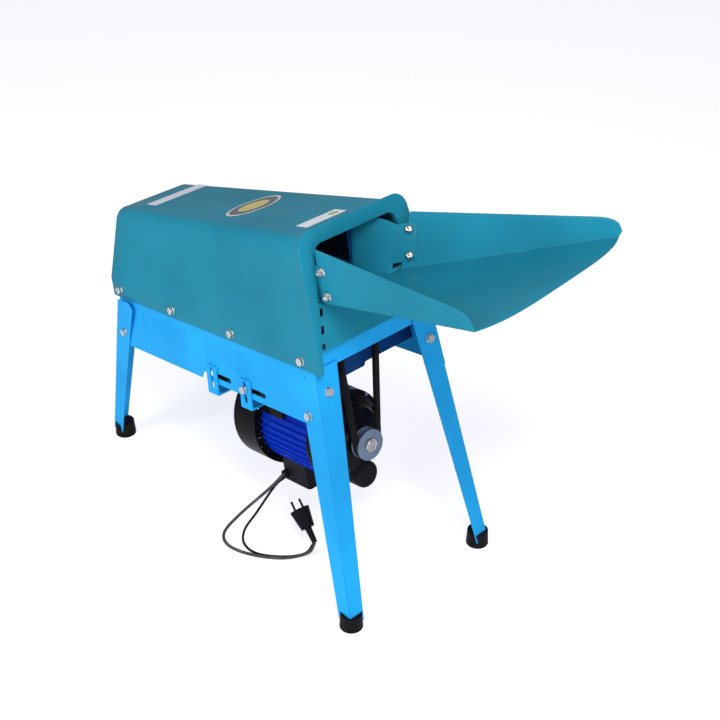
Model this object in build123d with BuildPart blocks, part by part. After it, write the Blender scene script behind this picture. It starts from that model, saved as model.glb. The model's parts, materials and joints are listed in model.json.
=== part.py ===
from build123d import *
from math import atan, cos, radians, sin, sqrt
import os

# Household electric maize sheller: a sheet-steel shelling box on four splayed legs, with a feed
# chute at one end, a toothed drum inside and a motor hung underneath that drives it by a V-belt.
# Millimetres. Every piece is drawn in the body frame: origin at the middle of the frame's top
# front edge, +X out of the feed end, +Y to the far side, +Z square to the frame's top. The rear
# legs are shorter, so each finished piece is tipped by BODY_TILT and stood on the floor.

BODY_TILT = 10.93             # degrees, feed end higher
SHEET = 1.5
TOUCH = 0.05                  # gap between sheets that lie on each other

# frame
FRAME_LENGTH = 580.0
FRAME_HALF_W = 132.8
SIDE_FLARE = 0.085            # how far the side plates lean out per unit of depth
PLATE_DEPTH = 129.0
RAIL_HEIGHT = 33.0
RAIL_DEPTH = 22.0
FRONT_LEAN = 0.082            # how far the front legs lean forward per unit of depth
FRONT_LEG_DEPTH = 499.0
LEG_TOP_DEPTH = 26.0
LEG_WIDTH_TOP = 48.0
LEG_WIDTH_FOOT = 29.0
REAR_LEG_X = -558.5           # where the rear leg's corner line meets the frame top
REAR_LEAN = 0.417
REAR_LEG_Y = 144.0
REAR_LEG_DEPTH = 353.0
FOOT_RADIUS = 21.0
FOOT_HEIGHT = 30.0
SOLE = 14.0

# cover
COVER_REAR_X = -596.0
COVER_FRONT_X = 16.0
BEZEL_LEAN = 31.0 / 200.0     # how far the front opening leans back per unit of height
REAR_LEAN_COVER = 12.0 / 124.0
COVER_BASE_Z = 5.0
BEZEL_TOP_Z = 198.0
OPENING_TOP = 183.0
OPENING_TOP_HALF = 95.0
OPENING_LOW_HALF = 118.0
SKIRT_DROP = 29.5

# drive
DRUM_AXIS = (0.0, 22.0)       # Y and Z of the drum shaft
MOTOR_AXIS = (-12.0, -236.0)  # Y and Z of the motor shaft
BELT_X = -45.0
DRUM_PULLEY_R = 52.0
MOTOR_PULLEY_R = 29.0
GROOVE_DEPTH = 11.0
BELT_HEIGHT = 8.0
SHAFT_R = 10.0
MOTOR_SHAFT_R = 9.5
RUNNING = 0.05                # radial running clearance

flare = atan(SIDE_FLARE)
NEAR_SIDE = Plane(origin=(0, -FRAME_HALF_W, 0), x_dir=(1, 0, 0), z_dir=(0, -cos(flare), sin(flare)))
FAR_SIDE = Plane(origin=(0, FRAME_HALF_W, 0), x_dir=(-1, 0, 0), z_dir=(0, cos(flare), sin(flare)))
FRONT_FACE = Plane(origin=(0, 0, 0), x_dir=(0, 1, 0), z_dir=(1, 0, FRONT_LEAN))
WORLD_UP = Vector(sin(radians(BODY_TILT)), 0, cos(radians(BODY_TILT)))
WORLD_FORWARD = Vector(cos(radians(BODY_TILT)), 0, -sin(radians(BODY_TILT)))
MIRROR = Plane.XZ

pieces = {}


def keep(piece, label):
    """Name a finished piece and set it aside, tipped the way the machine stands."""
    piece.part.label = label
    pieces[label] = piece.part.moved(Location((0, 0, 0), (0, -BODY_TILT, 0)))


def mirrored(piece):
    """The same piece for the other side of the machine."""
    with BuildPart() as other:
        mirror(piece.part, about=MIRROR)
    return other


def axis_plane(x, axis):
    """A plane square to the machine's length, centred on a shaft axis."""
    return Plane(origin=(x, axis[0], axis[1]), x_dir=(0, 1, 0), z_dir=(1, 0, 0))


def fastener_group(places, shank_r, length, head_flat, nut_at=None):
    """Hexagon-head screws as separate solids; places are planes facing out of the head."""
    with BuildPart() as group:
        for place in places:
            with BuildSketch(place):
                Circle(head_flat * 0.62)
            extrude(amount=1.4)
            with BuildSketch(place.offset(1.4)):
                RegularPolygon(head_flat / 2, 6, major_radius=False)
            extrude(amount=shank_r * 1.3)
            with BuildSketch(place):
                Circle(shank_r)
            extrude(amount=-length)
            if nut_at:
                with BuildSketch(place.offset(-nut_at)):
                    RegularPolygon(head_flat / 2, 6, major_radius=False)
                extrude(amount=-shank_r * 1.6)
    return group


# ---------------------------------------------------------------- frame

PLATE_V = PLATE_DEPTH / cos(flare)
HANGER_X = (-291.0, -193.0)
HANGER_BOLT_V = -113.0
ADJUST_SLOTS = ((-272.0, 68.0), (-173.0, 68.0))
LOUVRE_COUNT = 14
LOUVRE_PITCH = 10.6
LOUVRE_SETS = (-437.0, -238.0)
NOTCH_X = -319.0
COVER_BOLT_X = (-569.0, -396.0, -217.0, -27.0)
COVER_BOLT_V = -15.0
FRONT_SIDE_BOLT = (-22.0, -113.0)
REAR_SIDE_BOLT = (-571.5, -100.0)

with BuildPart() as side_plate_near:
    with BuildSketch(NEAR_SIDE):
        with BuildLine():
            Polyline(
                (0, 0), (FRONT_LEAN * PLATE_V, -PLATE_V), (NOTCH_X + 16, -PLATE_V),
                (NOTCH_X + 8, -PLATE_V + 15), (NOTCH_X, -PLATE_V + 15), (NOTCH_X - 9, -PLATE_V),
                (-FRAME_LENGTH, -PLATE_V), (-FRAME_LENGTH, 0), close=True,
            )
        make_face()
        for slot_x, slot_length in ADJUST_SLOTS:
            with Locations((slot_x, HANGER_BOLT_V)):
                SlotOverall(slot_length, 10, mode=Mode.SUBTRACT)
        with Locations(*[(x, COVER_BOLT_V) for x in COVER_BOLT_X]):
            Circle(4.2, mode=Mode.SUBTRACT)
        with Locations(FRONT_SIDE_BOLT, REAR_SIDE_BOLT):
            Circle(5.0, mode=Mode.SUBTRACT)
        with Locations((-25.7, -45.0)):
            Circle(2.2, mode=Mode.SUBTRACT)
    extrude(amount=-SHEET)
    # folded top edge that the cover rests over
    with BuildSketch(Plane.XY):
        with Locations((-FRAME_LENGTH / 2, -FRAME_HALF_W + 9.0)):
            Rectangle(FRAME_LENGTH - 6.4, 17.8)
    extrude(amount=-SHEET)
    # pressed vertical ribs
    with BuildSketch(NEAR_SIDE):
        for set_x in LOUVRE_SETS:
            with Locations((set_x, -68)):
                with GridLocations(LOUVRE_PITCH, 0, LOUVRE_COUNT, 1):
                    SlotOverall(44, 4.2, rotation=90)
    extrude(amount=0.8)
keep(side_plate_near, "side_plate_near")
side_plate_far = mirrored(side_plate_near)
keep(side_plate_far, "side_plate_far")

with BuildPart() as front_end_rail:
    half = FRAME_HALF_W - SHEET - TOUCH
    with BuildSketch(Plane.XZ.offset(-half)):
        with BuildLine():
            Polyline(
                (-2 * SHEET, -SHEET - TOUCH), (-2 * SHEET, -RAIL_HEIGHT), (-RAIL_DEPTH, -RAIL_HEIGHT),
                (-RAIL_DEPTH, -RAIL_HEIGHT + SHEET), (-3 * SHEET, -RAIL_HEIGHT + SHEET),
                (-3 * SHEET, -2 * SHEET - TOUCH), (-RAIL_DEPTH, -2 * SHEET - TOUCH),
                (-RAIL_DEPTH, -SHEET - TOUCH), close=True,
            )
        make_face()
    extrude(amount=2 * half)
    # face strip that stands up to the frame top between the legs
    with BuildSketch(Plane.YZ.offset(-2 * SHEET)):
        with Locations((0, -RAIL_HEIGHT / 2)):
            Rectangle(2 * (FRAME_HALF_W - SHEET - TOUCH), RAIL_HEIGHT)
    extrude(amount=SHEET)
keep(front_end_rail, "front_end_rail")

with BuildPart() as rear_end_rail:
    with BuildSketch(Plane.XZ.offset(-half)):
        with BuildLine():
            Polyline(
                (-FRAME_LENGTH + SHEET, -SHEET - TOUCH), (-FRAME_LENGTH + SHEET, -RAIL_HEIGHT),
                (-FRAME_LENGTH + RAIL_DEPTH, -RAIL_HEIGHT),
                (-FRAME_LENGTH + RAIL_DEPTH, -RAIL_HEIGHT + SHEET),
                (-FRAME_LENGTH + 2 * SHEET, -RAIL_HEIGHT + SHEET),
                (-FRAME_LENGTH + 2 * SHEET, -2 * SHEET - TOUCH),
                (-FRAME_LENGTH + RAIL_DEPTH, -2 * SHEET - TOUCH),
                (-FRAME_LENGTH + RAIL_DEPTH, -SHEET - TOUCH), close=True,
            )
        make_face()
    extrude(amount=2 * half)
keep(rear_end_rail, "rear_end_rail")

# Front leg: a tapered angle whose side flange lies inside the side plate.
FRONT_V = FRONT_LEG_DEPTH / cos(flare)
with BuildPart() as leg_front_near:
    with BuildSketch(NEAR_SIDE.offset(-SHEET - TOUCH)):
        with BuildLine():
            Polyline(
                (FRONT_LEAN * LEG_TOP_DEPTH - 0.3, -LEG_TOP_DEPTH - 12),
                (FRONT_LEAN * FRONT_V - 0.3, -FRONT_V - 20),
                (FRONT_LEAN * FRONT_V - LEG_WIDTH_FOOT, -FRONT_V - 20),
                (FRONT_LEAN * LEG_TOP_DEPTH - LEG_WIDTH_TOP, -LEG_TOP_DEPTH - 12), close=True,
            )
        make_face()
        with Locations(FRONT_SIDE_BOLT):
            Circle(4.2, mode=Mode.SUBTRACT)
    extrude(amount=-SHEET)
    with BuildSketch(FRONT_FACE.offset(-SHEET)):
        with BuildLine():
            Polyline(
                (-FRAME_HALF_W - SIDE_FLARE * LEG_TOP_DEPTH + SHEET + 0.1, -LEG_TOP_DEPTH),
                (-FRAME_HALF_W - SIDE_FLARE * FRONT_V + SHEET + 0.1, -FRONT_V - 20),
                (-FRAME_HALF_W - SIDE_FLARE * FRONT_V + LEG_WIDTH_FOOT, -FRONT_V - 20),
                (-FRAME_HALF_W - SIDE_FLARE * LEG_TOP_DEPTH + LEG_WIDTH_TOP, -LEG_TOP_DEPTH),
                close=True,
            )
        make_face()
        with Locations((-117, -70)):
            Circle(4.2, mode=Mode.SUBTRACT)
    extrude(amount=SHEET)
    foot_end = Vector(FRONT_LEAN * FRONT_LEG_DEPTH, 0, -FRONT_LEG_DEPTH)
    split(bisect_by=Plane(origin=foot_end, x_dir=WORLD_FORWARD, z_dir=WORLD_UP), keep=Keep.TOP)
keep(leg_front_near, "leg_front_near")
leg_front_far = mirrored(leg_front_near)
keep(leg_front_far, "leg_front_far")

FLOOR = -(foot_end.dot(WORLD_UP)) + SOLE      # body origin's height above the floor

# Rear leg: a tapered angle outside the side plate, with a chamfered top.
with BuildPart() as leg_rear_near:
    with BuildSketch(Plane.XZ.offset(REAR_LEG_Y)):
        with BuildLine():
            Polyline(
                (REAR_LEG_X - REAR_LEAN * 31, -31),
                (REAR_LEG_X - REAR_LEAN * 31 + LEG_WIDTH_TOP - 14, -31),
                (REAR_LEG_X - REAR_LEAN * 31 + LEG_WIDTH_TOP - 3, -44),
                (REAR_LEG_X - REAR_LEAN * 380 + LEG_WIDTH_FOOT, -380),
                (REAR_LEG_X - REAR_LEAN * 380, -380), close=True,
            )
        make_face()
        with Locations(REAR_SIDE_BOLT):
            Circle(4.2, mode=Mode.SUBTRACT)
    extrude(amount=SHEET)
    rear_stretch = sqrt(1 + REAR_LEAN * REAR_LEAN)
    rear_face = Plane(
        origin=(REAR_LEG_X, 0, 0), x_dir=(0, 1, 0), z_dir=(-1, 0, REAR_LEAN)
    )
    with BuildSketch(rear_face):
        with BuildLine():
            Polyline(
                (-REAR_LEG_Y, 57 * rear_stretch), (-REAR_LEG_Y, 380 * rear_stretch),
                (-REAR_LEG_Y + LEG_WIDTH_FOOT, 380 * rear_stretch),
                (-REAR_LEG_Y + LEG_WIDTH_TOP, 57 * rear_stretch), close=True,
            )
        make_face()
    extrude(amount=-SHEET)
    rear_end = Vector(REAR_LEG_X - REAR_LEAN * REAR_LEG_DEPTH, 0, -REAR_LEG_DEPTH)
    rear_cut = rear_end + WORLD_UP * (SOLE - FLOOR - rear_end.dot(WORLD_UP))
    split(bisect_by=Plane(origin=rear_cut, x_dir=WORLD_FORWARD, z_dir=WORLD_UP), keep=Keep.TOP)
keep(leg_rear_near, "leg_rear_near")
leg_rear_far = mirrored(leg_rear_near)
keep(leg_rear_far, "leg_rear_far")


# Rubber feet: round plugs inside the leg corners, standing square on the floor.
FOOT_CENTRES = []
for leg_end, foot_y, sign in (
    (foot_end, FRAME_HALF_W + SIDE_FLARE * FRONT_LEG_DEPTH - 15, -1),
    (rear_end, REAR_LEG_Y - 15, 1),
):
    for side in (-1, 1):
        FOOT_CENTRES.append(Vector(leg_end.X, side * foot_y, leg_end.Z) + WORLD_FORWARD * (sign * 15))

with BuildPart() as rubber_feet:
    for centre in FOOT_CENTRES:
        base = centre + WORLD_UP * (-FLOOR - centre.dot(WORLD_UP))
        with BuildSketch(Plane(origin=base, x_dir=WORLD_FORWARD, z_dir=WORLD_UP)):
            Circle(FOOT_RADIUS)
        extrude(amount=FOOT_HEIGHT, taper=3)
    for leg in (leg_front_near, leg_front_far, leg_rear_near, leg_rear_far):
        add(leg.part, mode=Mode.SUBTRACT)
keep(rubber_feet, "rubber_feet")

# Screws that hold the legs: one through the side and one through the front of each front leg.
side_out = NEAR_SIDE.z_dir
FRONT_SIDE_PLACE = Plane(
    origin=NEAR_SIDE.from_local_coords(Vector(FRONT_SIDE_BOLT[0], FRONT_SIDE_BOLT[1], TOUCH)),
    x_dir=(1, 0, 0), z_dir=side_out,
)
FRONT_FACE_PLACE = Plane(
    origin=FRONT_FACE.from_local_coords(Vector(-117, -70, TOUCH)),
    x_dir=(0, 1, 0), z_dir=FRONT_FACE.z_dir,
)
REAR_SIDE_PLACE = Plane(
    origin=(REAR_SIDE_BOLT[0], -REAR_LEG_Y - SHEET - TOUCH, REAR_SIDE_BOLT[1]),
    x_dir=(1, 0, 0), z_dir=(0, -1, 0),
)
leg_bolts_near = fastener_group(
    (FRONT_SIDE_PLACE, FRONT_FACE_PLACE, REAR_SIDE_PLACE), 4.0, 16, 13, nut_at=7.8
)
with BuildPart() as leg_bolts:
    add(leg_bolts_near.part)
    mirror(leg_bolts_near.part, about=MIRROR)
keep(leg_bolts, "leg_bolts")

# ---------------------------------------------------------------- cover


def leaning_plane(x, lean):
    """A plane across the body at x that leans back by lean per unit of height; local y is up."""
    return Plane(origin=(x, 0, 0), x_dir=(0, 1, 0), z_dir=(1, 0, lean))


def cover_outline(x, lean, base_half, top_half, top_z, radius, inset=0.0, drop=0.0):
    """Trapezoid across the cover with rounded shoulders, set in by the sheet when inset is given."""
    stretch = sqrt(1 + lean * lean)
    with BuildSketch(leaning_plane(x, lean)) as outline:
        slope = (base_half - top_half) / (top_z - COVER_BASE_Z)
        low = COVER_BASE_Z - drop
        low_half = base_half + slope * drop - inset
        with BuildLine():
            Polyline(
                (-low_half, low * stretch), (-top_half + inset, (top_z - inset) * stretch),
                (top_half - inset, (top_z - inset) * stretch), (low_half, low * stretch), close=True,
            )
        make_face()
        fillet(outline.vertices().group_by(Axis.Y)[-1], radius - inset)
    return outline


FORE_X = COVER_FRONT_X - 24.0
SECTIONS = (
    # x at the base, lean, half-width at the base, half-width at the top, height, shoulder radius
    (COVER_REAR_X, REAR_LEAN_COVER, 134.0, 84.0, 124.0, 26.0),
    (FORE_X, BEZEL_LEAN, 134.8, 111.0, 187.5, 28.0),
    (COVER_FRONT_X - SHEET, BEZEL_LEAN, 135.5, 116.0, 198.0, 28.0),
)

with BuildPart() as top_cover:
    for rear, fore in ((0, 1), (1, 2)):
        sections = [cover_outline(*SECTIONS[index]) for index in (rear, fore)]
        for section in sections:
            add(section.sketch)
        loft(ruled=True)
    for rear, fore in ((0, 1), (1, 2)):
        for index in (rear, fore):
            x, lean, base_half, top_half, top_z, radius = SECTIONS[index]
            reach = -1.0 if index == 0 else (1.0 if index == 2 else 0.0)
            inner = cover_outline(
                x + reach, lean, base_half, top_half, top_z, radius, inset=SHEET, drop=12
            )
            add(inner.sketch)
        loft(ruled=True, mode=Mode.SUBTRACT)
    for side in (-1, 1):
        # joggled skirt that hangs over the side plate
        skirt_plane = NEAR_SIDE if side < 0 else FAR_SIDE
        with BuildSketch(skirt_plane.offset(0.9)):
            with Locations((side * -(COVER_REAR_X + COVER_FRONT_X) / 2, (7.0 - SKIRT_DROP) / 2)):
                Rectangle(COVER_FRONT_X - COVER_REAR_X, SKIRT_DROP + 7.0)
        extrude(amount=SHEET)
    # front band around the feed opening, open at the bottom
    with BuildSketch(leaning_plane(COVER_FRONT_X, BEZEL_LEAN)) as band:
        with BuildLine():
            Polyline(
                (-137.6, -SKIRT_DROP + 1.5), (-116.0, BEZEL_TOP_Z + 2.3), (116.0, BEZEL_TOP_Z + 2.3),
                (137.6, -SKIRT_DROP + 1.5), close=True,
            )
        make_face()
        fillet(band.vertices().group_by(Axis.Y)[-1], 28)
        with BuildSketch(mode=Mode.PRIVATE) as opening:
            with BuildLine():
                Polyline(
                    (-OPENING_LOW_HALF, -SKIRT_DROP - 20), (-OPENING_TOP_HALF, OPENING_TOP),
                    (OPENING_TOP_HALF, OPENING_TOP), (OPENING_LOW_HALF, -SKIRT_DROP - 20), close=True,
                )
            make_face()
            fillet(opening.vertices().group_by(Axis.Y)[-1], 16)
        add(opening.sketch, mode=Mode.SUBTRACT)
    extrude(amount=-SHEET)
    for side in (-1, 1):
        skirt_plane = NEAR_SIDE if side < 0 else FAR_SIDE
        with BuildSketch(skirt_plane.offset(5)):
            with Locations(*[(side * -x, COVER_BOLT_V) for x in COVER_BOLT_X]):
                Circle(4.2)
        extrude(amount=-10, mode=Mode.SUBTRACT)
keep(top_cover, "top_cover")

cover_places = [
    Plane(origin=NEAR_SIDE.from_local_coords(Vector(x, COVER_BOLT_V, 0.9 + SHEET + TOUCH)),
          x_dir=(1, 0, 0), z_dir=side_out)
    for x in COVER_BOLT_X
]
cover_bolts_near = fastener_group(cover_places, 3.9, 14, 13, nut_at=0.9 + 2 * SHEET + 2 * TOUCH)
with BuildPart() as cover_bolts:
    add(cover_bolts_near.part)
    mirror(cover_bolts_near.part, about=MIRROR)
keep(cover_bolts, "cover_bolts")

PANEL_TOP = 78.0
PANEL_LOW = 2.2
PANEL_HALF_LOW = 118.0
with BuildPart() as front_panel:
    panel_plane = leaning_plane(COVER_FRONT_X - 12, BEZEL_LEAN)
    with BuildSketch(panel_plane):
        with BuildLine():
            Polyline(
                (-PANEL_HALF_LOW, PANEL_LOW), (-PANEL_HALF_LOW + 9, PANEL_TOP),
                (PANEL_HALF_LOW - 9, PANEL_TOP), (PANEL_HALF_LOW, PANEL_LOW), close=True,
            )
        make_face()
        for side in (-1, 1):
            for height in (10.0, 41.0, 72.0):
                with Locations((side * (111.5 - 0.115 * height), height)):
                    Rectangle(3.2, 11, mode=Mode.SUBTRACT)
    extrude(amount=-SHEET)
    # stiffening fold along the foot of the panel, resting on the frame
    with BuildSketch(panel_plane.offset(-SHEET)):
        with Locations((0, PANEL_LOW + SHEET / 2)):
            Rectangle(2 * PANEL_HALF_LOW - 8, SHEET)
    extrude(amount=-10)
keep(front_panel, "front_panel")

# ---------------------------------------------------------------- feed chute and throat

CHUTE_Y = -98.5
CHUTE_IN_X = -4.0
CHUTE_SLOPE = 0.108
CHUTE_FLOOR_Z = 82.2
CHUTE_TIP_X = 342.0
FOLD_IN = Vector(20.0, 60.0, 0)
FOLD_OUT = Vector(291.0, 290.0, 0)
WING_TOP_IN = Vector(18.0, 98.0, 173.5)
WING_SCREWS = ((19.0, 100.0), (19.0, 135.0))
FAR_SCREWS = ((23.0, 109.0), (23.0, 138.0))
FLOOR_PLANE = Plane(
    origin=(0, 0, CHUTE_FLOOR_Z), x_dir=(1, 0, CHUTE_SLOPE), z_dir=(-CHUTE_SLOPE, 0, 1)
)
FLOOR_STRETCH = sqrt(1 + CHUTE_SLOPE ** 2)


def on_floor(point):
    """The point of the chute floor above or below a plan position."""
    return Vector(point.X, point.Y, CHUTE_FLOOR_Z + CHUTE_SLOPE * point.X)


fold_dir = on_floor(FOLD_OUT) - on_floor(FOLD_IN)
wing_normal = fold_dir.cross(WING_TOP_IN - on_floor(FOLD_IN)).normalized()
WING_PLANE = Plane(origin=on_floor(FOLD_IN), x_dir=fold_dir, z_dir=wing_normal)


def on_wing(x, z):
    """Local coordinates on the far wing's sheet of its point at a given body x and z."""
    start = on_floor(FOLD_IN)
    y = start.Y - (wing_normal.X * (x - start.X) + wing_normal.Z * (z - start.Z)) / wing_normal.Y
    local = WING_PLANE.to_local_coords(Vector(x, y, z))
    return (local.X, local.Y)


def wing_y(x, z):
    """Body y of the far wing's sheet at a given body x and z."""
    return WING_PLANE.from_local_coords(Vector(*on_wing(x, z), 0)).Y


def bezel_x(z):
    """Body x a hair in front of the bezel at height z."""
    return COVER_FRONT_X + 1.0 - BEZEL_LEAN * z


with BuildPart() as feed_chute:
    with BuildSketch(FLOOR_PLANE):
        with BuildLine():
            Polyline(
                (CHUTE_IN_X, CHUTE_Y), (CHUTE_TIP_X, CHUTE_Y), (CHUTE_TIP_X + 16, CHUTE_Y + 12),
                (CHUTE_TIP_X + 18, CHUTE_Y + 26), (329, 206),
                (FOLD_OUT.X * FLOOR_STRETCH + 9, FOLD_OUT.Y - 12),
                (FOLD_OUT.X * FLOOR_STRETCH, FOLD_OUT.Y + 0.6),
                (FOLD_IN.X * FLOOR_STRETCH, FOLD_IN.Y + 0.6), (11, 44), (CHUTE_IN_X, 36),
                close=True,
            )
        make_face()
    extrude(amount=-SHEET)
    # near wing, standing straight up
    with BuildSketch(Plane.XZ.offset(-CHUTE_Y - 0.3)):
        floor_low = CHUTE_FLOOR_Z - 1.2
        with BuildLine():
            Polyline(
                (bezel_x(82), floor_low + CHUTE_SLOPE * bezel_x(82)),
                (CHUTE_TIP_X, floor_low + CHUTE_SLOPE * CHUTE_TIP_X),
                (CHUTE_TIP_X - 6, 129), (CHUTE_TIP_X - 13, 136), (CHUTE_TIP_X - 33, 145),
                (bezel_x(175), 175), close=True,
            )
        make_face()
        with Locations(*WING_SCREWS):
            Circle(3.2, mode=Mode.SUBTRACT)
    extrude(amount=SHEET)
    # far wing, flared outwards
    with BuildSketch(WING_PLANE.offset(0.3)):
        with BuildLine():
            Polyline(
                (0, -1.0), (fold_dir.length, -1.0), on_wing(293, 124), on_wing(282, 136),
                on_wing(262, 143), on_wing(WING_TOP_IN.X, WING_TOP_IN.Z), close=True,
            )
        make_face()
        with Locations(*[on_wing(x, z) for x, z in FAR_SCREWS]):
            Circle(3.2, mode=Mode.SUBTRACT)
    extrude(amount=-SHEET)
keep(feed_chute, "feed_chute")

# Throat: a floor that carries on inside the box, a slanted wall that turns cobs to the drum, and
# a screwed tab for each wing of the chute.
BULKHEAD_X = -62.0
THROAT_Z = 80.0
THROAT_X = 9.0
THROAT_REAR_X = BULKHEAD_X + 2
WALL_TOP = 150.0
TAB_Y = CHUTE_Y + 0.35
with BuildPart() as feed_throat:
    with BuildSketch(Plane.XY.offset(THROAT_Z)):
        with BuildLine():
            Polyline(
                (THROAT_X, TAB_Y), (THROAT_X, wing_y(THROAT_X, THROAT_Z) + 1), (THROAT_REAR_X, 24),
                (THROAT_REAR_X, TAB_Y), close=True,
            )
        make_face()
    extrude(amount=-SHEET)
    for x, low_y, high_y, top_z in (
        (THROAT_X, wing_y(THROAT_X, THROAT_Z) - 1.6, wing_y(THROAT_X, WALL_TOP) - 1.6, WALL_TOP),
        (THROAT_REAR_X, 22, 34, WALL_TOP - 6),
    ):
        with BuildSketch(Plane.YZ.offset(x)):
            with BuildLine():
                Polyline(
                    (low_y, THROAT_Z - 1), (high_y, top_z), (high_y + 2, top_z), (low_y + 2, THROAT_Z - 1),
                    close=True,
                )
            make_face()
    loft(ruled=True)
    with BuildSketch(WING_PLANE.offset(0.35)) as far_tab:
        with BuildLine():
            Polyline(
                on_wing(THROAT_X - 1, 95), on_wing(THROAT_X - 1, 148), on_wing(32, 151), on_wing(32, 98),
                close=True,
            )
        make_face()
        fillet(far_tab.vertices().sort_by(Axis.X)[-2:], 6)
        with Locations(*[on_wing(x, z) for x, z in FAR_SCREWS]):
            Circle(3.2, mode=Mode.SUBTRACT)
    extrude(amount=SHEET)
    with BuildSketch(Plane.XZ.offset(-TAB_Y - SHEET)) as near_tab:
        with BuildLine():
            Polyline(
                (-28, THROAT_Z - SHEET), (CHUTE_IN_X - 1.5, THROAT_Z - SHEET), (CHUTE_IN_X - 1.5, 90),
                (30, 90), (30, 146), (-28, 146), close=True,
            )
        make_face()
        fillet(near_tab.vertices().group_by(Axis.X)[-1], 5)
        with Locations(*WING_SCREWS):
            Circle(3.2, mode=Mode.SUBTRACT)
    extrude(amount=SHEET)
keep(feed_throat, "feed_throat")

# ---------------------------------------------------------------- bulkheads and shelling parts

DRUM_R = 40.0
TOOTH_TIP_R = 60.0
DRUM_FRONT_X = -72.0
DRUM_REAR_X = -525.0
REAR_BULKHEAD_X = -545.0
SIEVE_R = 70.0
BEARING_R = 26.0
BEARING_DEPTH = 14.0


def bearing_holes():
    """Centres of the four bearing screws, local to a plane on the drum axis."""
    return [(x, y) for x in (-24, 24) for y in (-24, 24)]


with BuildPart() as front_bulkhead:
    with BuildSketch(Plane.YZ.offset(BULKHEAD_X)):
        with BuildLine():
            Polyline(
                (-130, -2.5), (-138, -101), (20, -101), (24, -94), (138, -94), (130, -2.5),
                (128, 8), (107, 150), (-107, 150), (-128, 8), close=True,
            )
        make_face()
        with Locations((-20, 121)):
            Rectangle(86, 58, mode=Mode.SUBTRACT)
        with Locations(DRUM_AXIS):
            Circle(SHAFT_R + 3, mode=Mode.SUBTRACT)
        with Locations(*[(DRUM_AXIS[0] + x, DRUM_AXIS[1] + y) for x, y in bearing_holes()]):
            Circle(3.2, mode=Mode.SUBTRACT)
    extrude(amount=-SHEET)
    # the top flanges of the side plates pass through
    for side in (-1, 1):
        with BuildSketch(Plane.XY.offset(0.2)):
            with Locations((BULKHEAD_X, side * (FRAME_HALF_W - 8))):
                Rectangle(10, 20)
        extrude(amount=-SHEET - 0.4, mode=Mode.SUBTRACT)
keep(front_bulkhead, "front_bulkhead")

OUTLET_W = 58.0
OUTLET_H = 66.0
OUTLET_Y = 64.0
OUTLET_Z = 38.0
with BuildPart() as rear_bulkhead:
    with BuildSketch(Plane.YZ.offset(REAR_BULKHEAD_X)):
        with BuildLine():
            Polyline(
                (-130, -2.5), (-138, -101), (138, -101), (130, -2.5), (125, 8), (86, 106),
                (-86, 106), (-125, 8), close=True,
            )
        make_face()
        with Locations((OUTLET_Y, OUTLET_Z)):
            RectangleRounded(OUTLET_W, OUTLET_H, 8, mode=Mode.SUBTRACT)
        with Locations(DRUM_AXIS):
            Circle(SHAFT_R + 3, mode=Mode.SUBTRACT)
        with Locations(*[(DRUM_AXIS[0] + x, DRUM_AXIS[1] + y) for x, y in bearing_holes() if x < 0]):
            Circle(3.2, mode=Mode.SUBTRACT)
    extrude(amount=SHEET)
    for side in (-1, 1):
        with BuildSketch(Plane.XY.offset(0.2)):
            with Locations((REAR_BULKHEAD_X, side * (FRAME_HALF_W - 8))):
                Rectangle(10, 20)
        extrude(amount=-SHEET - 0.4, mode=Mode.SUBTRACT)
keep(rear_bulkhead, "rear_bulkhead")

# Tray that carries the bare cobs from the outlet out over the rear rail.
with BuildPart() as cob_outlet:
    tray_half = OUTLET_W / 2 - 1.0
    tray_z = OUTLET_Z - OUTLET_H / 2
    with BuildSketch(Plane.YZ.offset(REAR_BULKHEAD_X - TOUCH)):
        with BuildLine():
            Polyline(
                (OUTLET_Y - tray_half, tray_z + 26), (OUTLET_Y - tray_half, tray_z - SHEET),
                (OUTLET_Y + tray_half, tray_z - SHEET), (OUTLET_Y + tray_half, tray_z + 26),
                (OUTLET_Y + tray_half - SHEET, tray_z + 26), (OUTLET_Y + tray_half - SHEET, tray_z),
                (OUTLET_Y - tray_half + SHEET, tray_z), (OUTLET_Y - tray_half + SHEET, tray_z + 26),
                close=True,
            )
        make_face()
    extrude(amount=-48)
keep(cob_outlet, "cob_outlet")


def flange_bearing(x, direction):
    """Square flanged bearing housing with its boss pointing along direction."""
    with BuildPart() as housing:
        place = axis_plane(x, DRUM_AXIS)
        with BuildSketch(place):
            RectangleRounded(64, 64, 9)
            with Locations(*bearing_holes()):
                Circle(3.2, mode=Mode.SUBTRACT)
        extrude(amount=direction * 5)
        with BuildSketch(place):
            Circle(BEARING_R)
        extrude(amount=direction * BEARING_DEPTH)
        boss_rims = housing.edges().filter_by(GeomType.CIRCLE).filter_by(
            lambda edge: abs(edge.radius - BEARING_R) < 0.01
        )
        fillet(boss_rims.sort_by(Axis.X)[-1 if direction > 0 else 0], 3)
        with BuildSketch(place.offset(-1)):
            Circle(SHAFT_R + RUNNING)
        extrude(amount=direction * (BEARING_DEPTH + 2), both=True, mode=Mode.SUBTRACT)
    return housing


front_bearing = flange_bearing(BULKHEAD_X - SHEET - TOUCH, -1)
keep(front_bearing, "front_bearing")
rear_bearing = flange_bearing(REAR_BULKHEAD_X + SHEET + TOUCH, 1)
keep(rear_bearing, "rear_bearing")

with BuildPart() as bearing_screws:
    for x, direction in ((BULKHEAD_X - SHEET - TOUCH - 5, -1), (REAR_BULKHEAD_X + SHEET + TOUCH + 5, 1)):
        for hole_y, hole_z in bearing_holes():
            if direction > 0 and hole_y > 0:
                continue
            place = axis_plane(x + direction * TOUCH, (DRUM_AXIS[0] + hole_y, DRUM_AXIS[1] + hole_z))
            with BuildSketch(place):
                RegularPolygon(5, 6, major_radius=False)
            extrude(amount=direction * 4)
            with BuildSketch(place):
                Circle(3.0)
            extrude(amount=-direction * 11)
keep(bearing_screws, "bearing_screws")

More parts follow.
